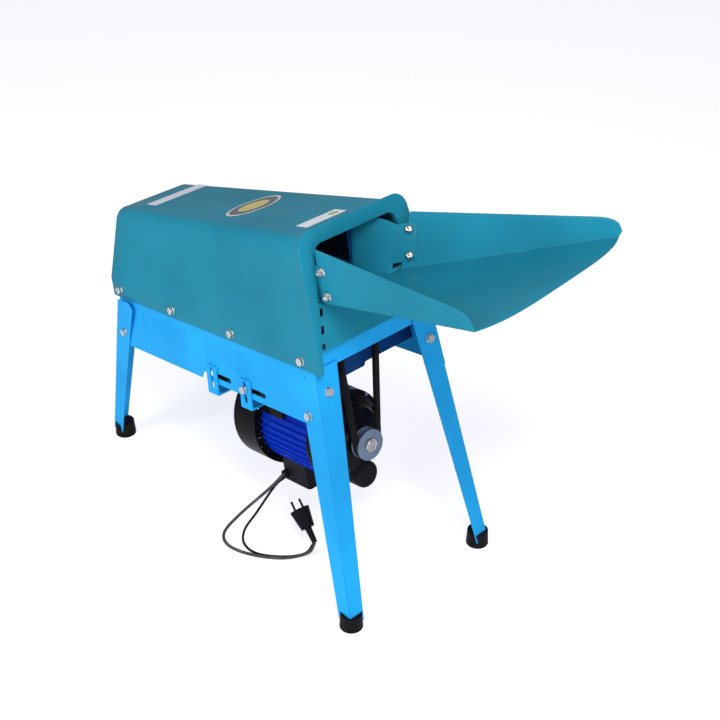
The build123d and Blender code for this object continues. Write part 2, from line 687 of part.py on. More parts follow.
# Sieve: a perforated half shell under the drum, hung from the side plates.
SIEVE_HOLE_R = 6.5
with BuildPart() as sieve:
    with BuildSketch(axis_plane(DRUM_FRONT_X, DRUM_AXIS)):
        Circle(SIEVE_R + SHEET)
        Circle(SIEVE_R, mode=Mode.SUBTRACT)
        with Locations((0, SIEVE_R)):
            Rectangle(4 * SIEVE_R, 2 * SIEVE_R, mode=Mode.SUBTRACT)
        for side in (-1, 1):
            with Locations((side * (SIEVE_R + 26), -SHEET / 2)):
                Rectangle(54, SHEET)
    extrude(amount=DRUM_REAR_X + 12 - DRUM_FRONT_X)
    for row in range(7):
        angle = radians(-150 + 20 * row)
        hole_dir = Vector(0, cos(angle), sin(angle))
        for column in range(16):
            hole_x = DRUM_FRONT_X - 24 - 27 * column
            centre = Vector(hole_x, DRUM_AXIS[0], DRUM_AXIS[1]) + hole_dir * (SIEVE_R - 2)
            with BuildSketch(Plane(origin=centre, x_dir=(1, 0, 0), z_dir=hole_dir)):
                Circle(SIEVE_HOLE_R)
    extrude(amount=6, mode=Mode.SUBTRACT)
keep(sieve, "sieve")

with BuildPart() as drum_shaft:
    with BuildSketch(axis_plane(-27, DRUM_AXIS)):
        Circle(SHAFT_R)
    extrude(amount=-(560 - 27))
    chamfer(drum_shaft.edges().filter_by(GeomType.CIRCLE), 1.0)
keep(drum_shaft, "drum_shaft")

with BuildPart() as drum_tube:
    with BuildSketch(axis_plane(DRUM_FRONT_X - 14, DRUM_AXIS)):
        Circle(DRUM_R)
        Circle(DRUM_R - 3, mode=Mode.SUBTRACT)
    extrude(amount=DRUM_REAR_X - DRUM_FRONT_X + 28)
    for x in (DRUM_FRONT_X - 20, DRUM_REAR_X + 20):
        with BuildSketch(axis_plane(x, DRUM_AXIS)):
            Circle(DRUM_R - 2)
            Circle(SHAFT_R, mode=Mode.SUBTRACT)
        extrude(amount=-5)
keep(drum_tube, "drum_tube")

# Teeth: pegs in four spiral rows, welded through the tube wall.
TOOTH_ROWS = 4
TEETH_PER_ROW = 11
TOOTH_PITCH = 36.0
TOOTH_TWIST = 24.0
with BuildPart() as drum_teeth:
    for row in range(TOOTH_ROWS):
        for number in range(TEETH_PER_ROW):
            angle = radians(360 / TOOTH_ROWS * row + TOOTH_TWIST * number)
            outward = Vector(0, cos(angle), sin(angle))
            foot = Vector(DRUM_FRONT_X - 34 - TOOTH_PITCH * number - 8 * row, *DRUM_AXIS)
            with BuildSketch(Plane(origin=foot + outward * (DRUM_R - 1.5), x_dir=(1, 0, 0), z_dir=outward)):
                Rectangle(14, 8)
            extrude(amount=TOOTH_TIP_R - DRUM_R + 1.5, taper=6)
keep(drum_teeth, "drum_teeth")


def v_pulley(x, axis, outer_r, shaft_r, hub_r, web_holes):
    """Single-groove pulley: rim with a V groove, a thin web and a hub, turned about the shaft."""
    with BuildPart() as pulley:
        plane = Plane(origin=(x, axis[0], axis[1]), x_dir=(1, 0, 0), z_dir=(0, -1, 0))
        with BuildSketch(plane):
            with BuildLine():
                Polyline(
                    (-9, shaft_r), (9, shaft_r), (9, hub_r), (4, hub_r), (4, outer_r - 17),
                    (9, outer_r - 15), (9, outer_r), (6.6, outer_r), (3.2, outer_r - GROOVE_DEPTH),
                    (-3.2, outer_r - GROOVE_DEPTH), (-6.6, outer_r), (-9, outer_r), (-9, outer_r - 15),
                    (-4, outer_r - 17), (-4, hub_r), (-9, hub_r), close=True,
                )
            make_face()
        revolve(axis=Axis((x, axis[0], axis[1]), (1, 0, 0)))
        if web_holes:
            with BuildSketch(axis_plane(x, axis)):
                with PolarLocations((hub_r + outer_r - 17) / 2, web_holes):
                    Circle((outer_r - 17 - hub_r) / 2 - 2.5)
            extrude(amount=6, both=True, mode=Mode.SUBTRACT)
    return pulley


keep(v_pulley(BELT_X, DRUM_AXIS, DRUM_PULLEY_R, SHAFT_R, 17.0, 5), "drum_pulley")

with BuildPart() as motor_pulley:
    plane = Plane(origin=(BELT_X, *MOTOR_AXIS), x_dir=(1, 0, 0), z_dir=(0, -1, 0))
    with BuildSketch(plane):
        with BuildLine():
            Polyline(
                (-13, MOTOR_SHAFT_R), (9, MOTOR_SHAFT_R), (9, MOTOR_PULLEY_R), (6.6, MOTOR_PULLEY_R),
                (3.2, MOTOR_PULLEY_R - GROOVE_DEPTH), (-3.2, MOTOR_PULLEY_R - GROOVE_DEPTH),
                (-6.6, MOTOR_PULLEY_R), (-9, MOTOR_PULLEY_R), (-9, 16), (-13, 16), close=True,
            )
        make_face()
    revolve(axis=Axis((BELT_X, *MOTOR_AXIS), (1, 0, 0)))
keep(motor_pulley, "motor_pulley")


def shaft_nut(x, axis, hole_r, flat, height):
    """Hexagon nut screwed on a shaft end."""
    with BuildPart() as nut:
        with BuildSketch(axis_plane(x, axis)):
            RegularPolygon(flat / 2, 6, major_radius=False)
            Circle(hole_r, mode=Mode.SUBTRACT)
        extrude(amount=height)
    return nut


keep(shaft_nut(BELT_X + 9 + TOUCH, DRUM_AXIS, SHAFT_R, 30, 8), "drum_pulley_nut")

# V-belt: two straight strands tangent to both pulleys, wrapped round their grooves.
BELT_BACK = 1.0                               # the belt's back stands this far inside the rims
BELT_TOP_HALF = 6.2
BELT_BASE_HALF = 3.75


def in_belt_plane(point):
    """Body-frame position of a point given by its Y and Z in the belt's plane."""
    return Vector(BELT_X, point.X, point.Y)


with BuildPart() as v_belt:
    big_centre, small_centre = Vector(*DRUM_AXIS), Vector(*MOTOR_AXIS)
    big_r = DRUM_PULLEY_R - BELT_BACK - BELT_HEIGHT / 2
    small_r = MOTOR_PULLEY_R - BELT_BACK - BELT_HEIGHT / 2
    span = (small_centre - big_centre).length
    down = (small_centre - big_centre).normalized()
    across = Vector(-down.Y, down.X)
    wrap = (big_r - small_r) / span
    contacts = [down * wrap + across * (sign * sqrt(1 - wrap * wrap)) for sign in (1, -1)]
    big_in, big_out = [in_belt_plane(big_centre + contact * big_r) for contact in contacts]
    small_in, small_out = [in_belt_plane(small_centre + contact * small_r) for contact in contacts]
    with BuildLine() as belt_path:
        Line(big_in, small_in)
        ThreePointArc(small_in, in_belt_plane(small_centre + down * small_r), small_out)
        Line(small_out, big_out)
        ThreePointArc(big_out, in_belt_plane(big_centre - down * big_r), big_in)
    outward = Vector(0, contacts[0].X, contacts[0].Y)
    section_plane = Plane(origin=big_in, x_dir=(1, 0, 0), z_dir=Vector(1, 0, 0).cross(outward))
    with BuildSketch(section_plane):
        with BuildLine():
            Polyline(
                (-BELT_TOP_HALF, BELT_HEIGHT / 2), (BELT_TOP_HALF, BELT_HEIGHT / 2),
                (BELT_BASE_HALF, -BELT_HEIGHT / 2), (-BELT_BASE_HALF, -BELT_HEIGHT / 2), close=True,
            )
        make_face()
    sweep(path=belt_path.wires()[0])
keep(v_belt, "v_belt")

# ---------------------------------------------------------------- motor

CASING_R = 79.0
FIN_TIP_R = 84.0
FIN_COUNT = 40
CASING_FRONT_X = -112.0
CASING_REAR_X = -245.0
COWL_R = 98.0
COWL_REAR_X = -312.0
BEARING_OUTER_R = 20.0
FRONT_BEARING_X = (-80.0, -68.0)
REAR_BEARING_X = (-262.0, -250.0)


def turned(axis, *outline):
    """A ring turned about a shaft axis from its half outline of (x, radius) points."""
    with BuildPart() as ring:
        with BuildSketch(Plane(origin=(0, *axis), x_dir=(1, 0, 0), z_dir=(0, -1, 0))):
            with BuildLine():
                Polyline(*outline, close=True)
            make_face()
        revolve(axis=Axis((0, *axis), (1, 0, 0)))
    return ring


with BuildPart() as motor_casing:
    with BuildSketch(axis_plane(CASING_REAR_X, MOTOR_AXIS)):
        Circle(CASING_R)
        with PolarLocations((CASING_R + FIN_TIP_R) / 2 - 0.5, FIN_COUNT):
            Rectangle(FIN_TIP_R - CASING_R + 1, 2.2)
        Circle(CASING_R - 4, mode=Mode.SUBTRACT)
    extrude(amount=CASING_FRONT_X - CASING_REAR_X)
keep(motor_casing, "motor_casing")

front_bell = turned(
    MOTOR_AXIS, (-112, 84), (-101, 84), (-101, 76.5), (-96, 74), (-86, 62), (-78, 57), (-72, 31), (-65, 29),
    (-65, 14), (-68, 14), (-68, BEARING_OUTER_R), (-80, BEARING_OUTER_R), (-80, 27), (-82, 53), (-90, 58),
    (-104, 72), (-112, 75),
)
with BuildPart() as motor_front_bell:
    add(front_bell.part)
    with BuildSketch(axis_plane(-74, MOTOR_AXIS)):
        with PolarLocations(66, 4, start_angle=20):
            SlotOverall(22, 9, rotation=90)
    extrude(amount=-30, mode=Mode.SUBTRACT)
keep(motor_front_bell, "motor_front_bell")

motor_rear_bell = turned(
    MOTOR_AXIS, (CASING_REAR_X, 84), (-252, 84), (-256, 78), (-262, 30), (-265, 28), (-265, 14), (-262, 14),
    (-262, BEARING_OUTER_R), (-250, BEARING_OUTER_R), (-250, 30), (CASING_REAR_X, 75),
)
keep(motor_rear_bell, "motor_rear_bell")

with BuildPart() as motor_bearings:
    for low_x, high_x in (FRONT_BEARING_X, REAR_BEARING_X):
        with BuildSketch(axis_plane(low_x, MOTOR_AXIS)):
            Circle(BEARING_OUTER_R)
            Circle(MOTOR_SHAFT_R + RUNNING, mode=Mode.SUBTRACT)
        extrude(amount=high_x - low_x)
keep(motor_bearings, "motor_bearings")

motor_stator = turned(
    MOTOR_AXIS, (-130, 50), (-130, CASING_R - 4), (-225, CASING_R - 4), (-225, 50),
)
keep(motor_stator, "motor_stator")
motor_rotor = turned(
    MOTOR_AXIS, (-130, MOTOR_SHAFT_R), (-130, 49.4), (-225, 49.4), (-225, MOTOR_SHAFT_R),
)
keep(motor_rotor, "motor_rotor")

with BuildPart() as motor_shaft:
    with BuildSketch(axis_plane(-32, MOTOR_AXIS)):
        Circle(MOTOR_SHAFT_R)
    extrude(amount=-268)
    chamfer(motor_shaft.edges().filter_by(GeomType.CIRCLE), 0.8)
keep(motor_shaft, "motor_shaft")
keep(shaft_nut(BELT_X + 9 + TOUCH, MOTOR_AXIS, MOTOR_SHAFT_R, 22, 3.5), "motor_pulley_nut")

with BuildPart() as motor_fan:
    with BuildSketch(axis_plane(-296, MOTOR_AXIS)):
        Circle(18)
        Circle(MOTOR_SHAFT_R, mode=Mode.SUBTRACT)
    extrude(amount=24)
    with BuildSketch(axis_plane(-273, MOTOR_AXIS)):
        Circle(60)
        Circle(17, mode=Mode.SUBTRACT)
    extrude(amount=2)
    with BuildSketch(axis_plane(-296, MOTOR_AXIS)):
        with PolarLocations(48, 8):
            Rectangle(62, 2)
    extrude(amount=24)
keep(motor_fan, "motor_fan")

# Fan cowl: a ventilated drum that overhangs the casing's rear end.
cowl_shell = turned(
    MOTOR_AXIS, (-243, COWL_R), (-304, COWL_R), (COWL_REAR_X, COWL_R - 8), (COWL_REAR_X, 12),
    (COWL_REAR_X + SHEET, 12), (COWL_REAR_X + SHEET, COWL_R - 9), (-304, COWL_R - SHEET),
    (-243 - SHEET, COWL_R - SHEET), (-243 - SHEET, 84.3), (-243, 84.3),
)
with BuildPart() as motor_cowl:
    add(cowl_shell.part)
    with BuildSketch(axis_plane(COWL_REAR_X - 2, MOTOR_AXIS)):
        for ring_r, count in ((34, 10), (52, 16), (70, 22)):
            with PolarLocations(ring_r, count):
                Circle(5)
        with PolarLocations(91.3, 30):
            Circle(3.4)
    extrude(amount=8, mode=Mode.SUBTRACT)
    with BuildSketch(axis_plane(-246, MOTOR_AXIS)):
        with PolarLocations(90.4, 36):
            Circle(3.6)
    extrude(amount=5, mode=Mode.SUBTRACT)
keep(motor_cowl, "motor_cowl")

with BuildPart() as terminal_box:
    with BuildSketch(Plane.XY.offset(-352)):
        with Locations((-204, -38)):
            RectangleRounded(74, 52, 6)
    extrude(amount=60)
    with BuildSketch(axis_plane(-260, MOTOR_AXIS)):
        Circle(FIN_TIP_R + 0.1)
    extrude(amount=100, mode=Mode.SUBTRACT)
keep(terminal_box, "terminal_box")

CAPACITOR_AXIS = (26.0, -342.0)
with BuildPart() as capacitor:
    with BuildSketch(axis_plane(-222, CAPACITOR_AXIS)):
        Circle(26)
    extrude(amount=118)
    fillet(capacitor.edges().filter_by(GeomType.CIRCLE), 6)
    with BuildSketch(axis_plane(-200, CAPACITOR_AXIS)):
        with Locations((-12, 20)):
            Rectangle(22, 22)
    extrude(amount=76)
    with BuildSketch(axis_plane(-260, MOTOR_AXIS)):
        Circle(FIN_TIP_R + 0.1)
    extrude(amount=200, mode=Mode.SUBTRACT)
keep(capacitor, "capacitor")

with BuildPart() as bell_screws:
    for number in range(4):
        angle = radians(45 + 90 * number)
        screw_axis = (MOTOR_AXIS[0] + 80.5 * cos(angle), MOTOR_AXIS[1] + 80.5 * sin(angle))
        place = axis_plane(-101 + TOUCH, screw_axis)
        with BuildSketch(place):
            Circle(3.3)
        extrude(amount=3)
keep(bell_screws, "bell_screws")

# Hangers: slotted angles outside the side plates; the motor's foot bars bolt under them.
HANGER_TOP_V = -95.0
HANGER_Z = -150.0
HANGER_THICK = 3.0
HANGER_GAP = 1.0
FOOT_BAR_OFFSET = (56.0, 80.0)
FOOT_BOLT_OFFSET = 62.0


def hanger(strap_x, side):
    """Slotted angle: one leg up the side plate, the other inwards over the motor's foot bar."""
    plate = NEAR_SIDE if side < 0 else FAR_SIDE
    inner_y = MOTOR_AXIS[0] + side * FOOT_BAR_OFFSET[0]
    outer_y = side * (FRAME_HALF_W + SIDE_FLARE * 150 + HANGER_GAP + 1.0)
    with BuildPart() as angle:
        with BuildSketch(plate.offset(HANGER_GAP)):
            with Locations((-side * strap_x, (HANGER_TOP_V - 150.5) / 2)):
                Rectangle(30, 55.5)
            with Locations((-side * strap_x, -119)):
                SlotOverall(42, 9, rotation=90, mode=Mode.SUBTRACT)
        extrude(amount=HANGER_THICK)
        with BuildSketch(Plane.XY.offset(HANGER_Z)):
            with Locations((strap_x, (inner_y + outer_y) / 2)):
                Rectangle(30, abs(outer_y - inner_y))
            with Locations((strap_x, MOTOR_AXIS[0] + side * FOOT_BOLT_OFFSET)):
                Circle(3.1, mode=Mode.SUBTRACT)
        extrude(amount=HANGER_THICK)
    return angle


for strap_x, place_name in zip(HANGER_X, ("rear", "front")):
    for side, side_name in ((-1, "near"), (1, "far")):
        keep(hanger(strap_x, side), f"hanger_{place_name}_{side_name}")


def foot_bar(side):
    """Bar under the hangers with a web down to the motor casing."""
    bar_y = MOTOR_AXIS[0] + side * sum(FOOT_BAR_OFFSET) / 2
    with BuildPart() as bar:
        with BuildSketch(Plane.XY.offset(HANGER_Z - TOUCH)):
            with Locations((-243, bar_y)):
                Rectangle(132, FOOT_BAR_OFFSET[1] - FOOT_BAR_OFFSET[0])
            with Locations(*[(x, MOTOR_AXIS[0] + side * FOOT_BOLT_OFFSET) for x in HANGER_X]):
                Circle(3.1, mode=Mode.SUBTRACT)
        extrude(amount=-HANGER_THICK)
        with BuildSketch(Plane.XY.offset(HANGER_Z - TOUCH - 1)):
            with Locations((-210, bar_y + side * 5)):
                Rectangle(58, 4)
        extrude(amount=-50)
        with BuildSketch(axis_plane(-260, MOTOR_AXIS)):
            Circle(FIN_TIP_R + 0.05)
        extrude(amount=100, mode=Mode.SUBTRACT)
    return bar


keep(foot_bar(-1), "motor_foot_near")
keep(foot_bar(1), "motor_foot_far")

foot_head_z = HANGER_Z + HANGER_THICK + TOUCH
foot_places = [
    Plane(origin=(x, MOTOR_AXIS[0] + side * FOOT_BOLT_OFFSET, foot_head_z), x_dir=(1, 0, 0), z_dir=(0, 0, 1))
    for x in HANGER_X for side in (-1, 1)
]
keep(fastener_group(foot_places, 3.0, 5.9, 10), "foot_bolts")

near_hanger_place, other_hanger_place = [
    Plane(origin=NEAR_SIDE.from_local_coords(Vector(x, HANGER_BOLT_V, HANGER_GAP + HANGER_THICK + 0.9)),
          x_dir=(1, 0, 0), z_dir=side_out)
    for x in (HANGER_X[1], HANGER_X[0])
]
hanger_bolts_near = fastener_group((near_hanger_place,), 3.9, 18, 13, nut_at=6.6)
hanger_bolts_rear = fastener_group((other_hanger_place,), 3.9, 18, 13, nut_at=6.6)
with BuildPart() as hanger_bolts:
    add(hanger_bolts_near.part)
    mirror(hanger_bolts_near.part, about=MIRROR)
    mirror(hanger_bolts_rear.part, about=MIRROR)
keep(hanger_bolts, "hanger_bolts")

# Cord: out of the terminal box, down in a loop that lies on the floor, and back up to the plug.
CORD_R = 3.6


def stand(x, y, z):
    """Body-frame position of a point given square to the floor, z measured up from the floor."""
    lean = radians(BODY_TILT)
    level = z - FLOOR
    return Vector(x * cos(lean) + level * sin(lean), y, -x * sin(lean) + level * cos(lean))


with BuildPart() as power_cord:
    with BuildLine() as cord_path:
        Spline(
            Vector(-232, -64.6, -338), stand(-178, -92, 92), stand(-212, -142, 34), stand(-214, -180, 7),
            stand(-184, -193, CORD_R + 0.4), stand(-140, -178, CORD_R + 0.4),
            stand(-92, -142, CORD_R + 0.4), stand(-66, -100, 8), stand(-68, -80, 20),
            tangents=(Vector(0, -1, -0.05), Vector(-0.5, 0.1, 0.6)),
        )
    with BuildSketch(Plane(origin=cord_path.line @ 0, z_dir=cord_path.line % 0)):
        Circle(CORD_R)
    sweep(path=cord_path.wires()[0])
keep(power_cord, "power_cord")

PLUG_BASE = cord_path.line @ 1
PLUG_DIR = (stand(-150, -66, 84) - PLUG_BASE).normalized()
with BuildPart() as plug:
    for start, low_r, high_r in ((0.0, 5.0, 6.5), (30.0, 13.0, 19.0)):
        plane = Plane(origin=PLUG_BASE + PLUG_DIR * (start + 0.1), z_dir=PLUG_DIR)
        with BuildSketch(plane):
            Circle(low_r)
        with BuildSketch(plane.offset(30 if start == 0 else 38)):
            Circle(high_r)
        loft()
    for sign in (-1, 1):
        pin_plane = Plane(origin=PLUG_BASE + PLUG_DIR * 68, z_dir=PLUG_DIR)
        with BuildSketch(pin_plane):
            with Locations((0, sign * 9)):
                Circle(2.2)
        extrude(amount=19)
keep(plug, "plug")

with BuildPart() as cord_gland:
    gland_dir = Vector(0, -1, 0)
    with BuildSketch(Plane(origin=(-232, -64.05, -338), z_dir=gland_dir)):
        Circle(8)
        Circle(5.5, mode=Mode.SUBTRACT)
    extrude(amount=6)
keep(cord_gland, "cord_gland")

# ---------------------------------------------------------------- blank stickers on the roof

rear_top = Vector(COVER_REAR_X - REAR_LEAN_COVER * 124.0, 0, 124.0)
fore_top = Vector(FORE_X - BEZEL_LEAN * 187.5, 0, 187.5)
roof_dir = (fore_top - rear_top).normalized()
ROOF = Plane(origin=rear_top, x_dir=roof_dir, z_dir=(-roof_dir.Z, 0, roof_dir.X))
with BuildPart() as roof_labels:
    with BuildSketch(ROOF.offset(TOUCH)):
        with Locations((61, 16)):
            RectangleRounded(32, 122, 2)
        with Locations((538, -16)):
            RectangleRounded(30, 86, 2)
    extrude(amount=0.3)
keep(roof_labels, "roof_labels")
with BuildPart() as roof_badge:
    with BuildSketch(ROOF.offset(TOUCH)):
        with Locations((324, 4)):
            Ellipse(34, 57)
    extrude(amount=0.3)
keep(roof_badge, "roof_badge")

# Chute screws: two through the near wing and two through the far one.
chute_places = [
    Plane(origin=(x, CHUTE_Y - SHEET + 0.3 - TOUCH, z), x_dir=(1, 0, 0), z_dir=(0, -1, 0))
    for x, z in WING_SCREWS
]
far_places = [
    Plane(
        origin=WING_PLANE.from_local_coords(Vector(*on_wing(x, z), 0.35 + SHEET + TOUCH)),
        x_dir=fold_dir, z_dir=wing_normal,
    )
    for x, z in FAR_SCREWS
]
keep(fastener_group(chute_places + far_places, 3.0, 12, 10, nut_at=2 * SHEET + 3 * TOUCH), "chute_bolts")

# ---------------------------------------------------------------- stand the machine on its feet

boxes = [placed.bounding_box() for placed in pieces.values()]
low_x, high_x = min(box.min.X for box in boxes), max(box.max.X for box in boxes)
low_y, high_y = min(box.min.Y for box in boxes), max(box.max.Y for box in boxes)
ORIGIN_SHIFT = Vector(-(low_x + high_x) / 2, -(low_y + high_y) / 2, -min(box.min.Z for box in boxes))
os.makedirs("parts", exist_ok=True)
for label, placed in pieces.items():
    final = placed.moved(Location(ORIGIN_SHIFT))
    final.label = label
    export_step(final, f"parts/{label}.step")
print("body origin stands at", ORIGIN_SHIFT)
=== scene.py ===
import json
import math

import bmesh
import bpy
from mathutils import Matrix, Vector


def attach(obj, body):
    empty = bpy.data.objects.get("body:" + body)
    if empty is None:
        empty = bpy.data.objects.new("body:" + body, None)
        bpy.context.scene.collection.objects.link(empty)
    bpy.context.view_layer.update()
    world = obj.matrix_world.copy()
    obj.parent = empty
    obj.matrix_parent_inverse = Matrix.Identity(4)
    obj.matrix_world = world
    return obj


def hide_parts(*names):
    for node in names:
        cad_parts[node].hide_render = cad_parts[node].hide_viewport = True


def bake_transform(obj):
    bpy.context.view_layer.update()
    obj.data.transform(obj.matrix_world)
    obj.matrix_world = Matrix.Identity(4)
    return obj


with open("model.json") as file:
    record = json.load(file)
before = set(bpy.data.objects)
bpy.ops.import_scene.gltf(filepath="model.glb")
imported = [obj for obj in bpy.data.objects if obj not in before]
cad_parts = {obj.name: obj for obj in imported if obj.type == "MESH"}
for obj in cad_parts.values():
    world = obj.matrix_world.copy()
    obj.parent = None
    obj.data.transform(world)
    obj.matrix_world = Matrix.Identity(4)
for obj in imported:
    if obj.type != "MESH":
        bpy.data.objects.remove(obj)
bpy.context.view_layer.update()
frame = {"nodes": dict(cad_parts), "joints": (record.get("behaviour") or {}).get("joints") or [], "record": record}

# A household electric maize sheller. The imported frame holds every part; this script paints the
# parts and rebuilds the pressed-sheet shells, the belt and the cord with their real bends.
# New pieces are drawn in millimetres in the body frame: origin at the middle of the frame's top
# front edge, x out of the feed end, y to the far side, z square to the frame's top.

MM = 0.001
SHEET = 1.5                                # thickness of the pressed sheet
SMOOTH_ANGLE = math.radians(35)            # folds sharper than this stay crisp

joints = {joint["name"]: joint for joint in frame["joints"]}
FORWARD = Vector(joints["drum_spin"]["axis"]).normalized()
UPWARD = Vector(joints["motor_tension"]["axis"]).normalized()
SIDEWAYS = UPWARD.cross(FORWARD)
DRUM_POINT = (-300.0, 0.0, 22.0)           # the drum joint's place in the body frame
ORIGIN = (
    Vector(joints["drum_spin"]["pos_m"])
    - FORWARD * DRUM_POINT[0] * MM - UPWARD * DRUM_POINT[2] * MM
)


def at(x, y, z):
    """Row-frame position, in metres, of a point of the body frame."""
    return ORIGIN + (FORWARD * x + SIDEWAYS * y + UPWARD * z) * MM


def on_ground(x, y, z):
    """Row-frame position of a point given level with the floor, x and y from the body origin."""
    return Vector((ORIGIN.x + x * MM, ORIGIN.y + y * MM, z * MM))


# ---------------------------------------------------------------- materials


class Wiring:
    """A new material and a short way to wire its nodes."""

    def __init__(self, name):
        self.material = bpy.data.materials.new(name)
        self.material.use_nodes = True
        self.tree = self.material.node_tree
        self.tree.nodes.clear()
        output = self.tree.nodes.new("ShaderNodeOutputMaterial")
        self.shader = self.tree.nodes.new("ShaderNodeBsdfPrincipled")
        self.link(self.shader.outputs["BSDF"], output.inputs["Surface"])
        self.place = self.tree.nodes.new("ShaderNodeTexCoord").outputs["Object"]

    def link(self, source, target):
        self.tree.links.new(source, target)

    def feed(self, node, socket, value):
        """Give a node's input a number or colour, or link another node's output to it."""
        if isinstance(value, bpy.types.NodeSocket):
            self.link(value, node.inputs[socket])
        else:
            node.inputs[socket].default_value = value

    def noise(self, scale, detail=3.0, roughness=0.5, stretch=None):
        node = self.tree.nodes.new("ShaderNodeTexNoise")
        place = self.place
        if stretch:
            mapping = self.tree.nodes.new("ShaderNodeMapping")
            mapping.inputs["Scale"].default_value = stretch
            self.link(place, mapping.inputs["Vector"])
            place = mapping.outputs["Vector"]
        self.link(place, node.inputs["Vector"])
        node.inputs["Scale"].default_value = scale
        node.inputs["Detail"].default_value = detail
        node.inputs["Roughness"].default_value = roughness
        return node.outputs["Fac"]

    def span(self, value, low, high, new_low, new_high):
        """Map a value's range low..high onto new_low..new_high, clamped."""
        node = self.tree.nodes.new("ShaderNodeMapRange")
        names = ("Value", "From Min", "From Max", "To Min", "To Max")
        for name, number in zip(names, (value, low, high, new_low, new_high)):
            self.feed(node, name, number)
        return node.outputs["Result"]

    def math(self, operation, first, second=0.0):
        """Result of a math node on one or two sockets or numbers."""
        node = self.tree.nodes.new("ShaderNodeMath")
        node.operation = operation
        self.feed(node, 0, first)
        self.feed(node, 1, second)
        return node.outputs["Value"]

    def mix(self, share, first, second):
        """Colour between two colours; a share of 1 gives the second."""
        node = self.tree.nodes.new("ShaderNodeMix")
        node.data_type = "RGBA"
        self.feed(node, 0, share)
        self.feed(node, 6, first)
        self.feed(node, 7, second)
        return node.outputs[2]

    def dot(self, first, direction):
        """Dot product of a vector socket with a fixed direction or another socket."""
        node = self.tree.nodes.new("ShaderNodeVectorMath")
        node.operation = "DOT_PRODUCT"
        self.feed(node, 0, first)
        self.feed(node, 1, direction)
        return node.outputs["Value"]

    def beyond(self, direction, start):
        """How far a point lies along a direction past a start, in metres."""
        return self.math("SUBTRACT", self.dot(self.place, direction), start)

    def length(self, first, second):
        """Length of the vector with these two components."""
        squares = [self.math("MULTIPLY", part, part) for part in (first, second)]
        return self.math("SQRT", self.math("ADD", *squares))

    def rounded(self, radius):
        """A normal that rounds every edge by radius metres, for the highlights along folds."""
        node = self.tree.nodes.new("ShaderNodeBevel")
        node.samples = 4
        node.inputs["Radius"].default_value = radius
        return node.outputs["Normal"]

    def edges(self, radius):
        """Close to 1 on the sharp edges, 0 on flat faces."""
        geometry = self.tree.nodes.new("ShaderNodeNewGeometry")
        agreement = self.dot(self.rounded(radius), geometry.outputs["Normal"])
        return self.span(agreement, 0.985, 0.86, 0.0, 1.0)

    def bump(self, height, strength, distance, normal):
        node = self.tree.nodes.new("ShaderNodeBump")
        node.inputs["Strength"].default_value = strength
        node.inputs["Distance"].default_value = distance
        self.link(height, node.inputs["Height"])
        self.link(normal, node.inputs["Normal"])
        return node.outputs["Normal"]

    def finish(self, **values):
        """Set the surface's inputs; underscores stand for spaces in their names."""
        for name, value in values.items():
            self.feed(self.shader, name.replace("_", " "), value)
        return self.material


def shade(colour, factor):
    return tuple(min(1.0, channel * factor) for channel in colour[:3]) + (1.0,)


def paint(name, colour, roughness=0.3, edge_wear_and_highlight=0.5, orange_peel=0.05):
    """Powder coat over sheet steel: faint clouding, specks, orange peel, and thin lighter edges that are partly
    wear and partly a painted highlight along the folds.
    """
    wiring = Wiring(name)
    cloud = wiring.noise(5.0, detail=4.0)
    base = wiring.mix(wiring.span(cloud, 0.35, 0.65, 0.0, 1.0), shade(colour, 0.86), shade(colour, 1.07))
    speck = wiring.span(wiring.noise(420.0, detail=2.0), 0.66, 0.72, 0.0, 0.10)
    base = wiring.mix(speck, base, shade(colour, 1.6))
    # lighter grey along the sharp edges, broken up by noise: partly worn edges, partly a painted highlight on the
    # folds
    wear_and_highlight_breakup = wiring.span(wiring.noise(60.0, detail=6.0, roughness=0.7), 0.5, 0.62, 0.0, edge_wear_and_highlight)
    worn_and_highlit_edges = wiring.math("MULTIPLY", wiring.edges(0.0009), wear_and_highlight_breakup)
    base = wiring.mix(worn_and_highlit_edges, base, (0.42, 0.46, 0.48, 1.0))
    peel = wiring.noise(700.0, detail=2.0)
    normal = wiring.bump(peel, orange_peel, 0.0004, wiring.rounded(0.0011))
    smudge = wiring.span(wiring.noise(14.0, detail=5.0), 0.3, 0.7, roughness * 0.8, roughness * 1.3)
    return wiring.finish(
        Base_Color=base, Roughness=smudge, Normal=normal, Coat_Weight=0.03, Coat_Roughness=0.16,
        Specular_IOR_Level=0.04,
    )


def metal(name, colour, roughness, brushed=None, tarnish=0.75, grain=300.0):
    """Bare or plated metal with tarnish clouds and fine grain, brushed along one axis if asked."""
    wiring = Wiring(name)
    cloud = wiring.noise(90.0, detail=5.0)
    base = wiring.mix(wiring.span(cloud, 0.3, 0.7, 0.0, 1.0), shade(colour, tarnish), shade(colour, 1.12))
    fine = wiring.noise(grain, detail=4.0, stretch=brushed)
    normal = wiring.bump(fine, 0.16, 0.0003, wiring.rounded(0.0006))
    rough = wiring.span(fine, 0.3, 0.7, roughness * 0.75, roughness * 1.35)
    return wiring.finish(Base_Color=base, Metallic=1.0, Roughness=rough, Normal=normal)


RINGS_PER_METRE = 620.0


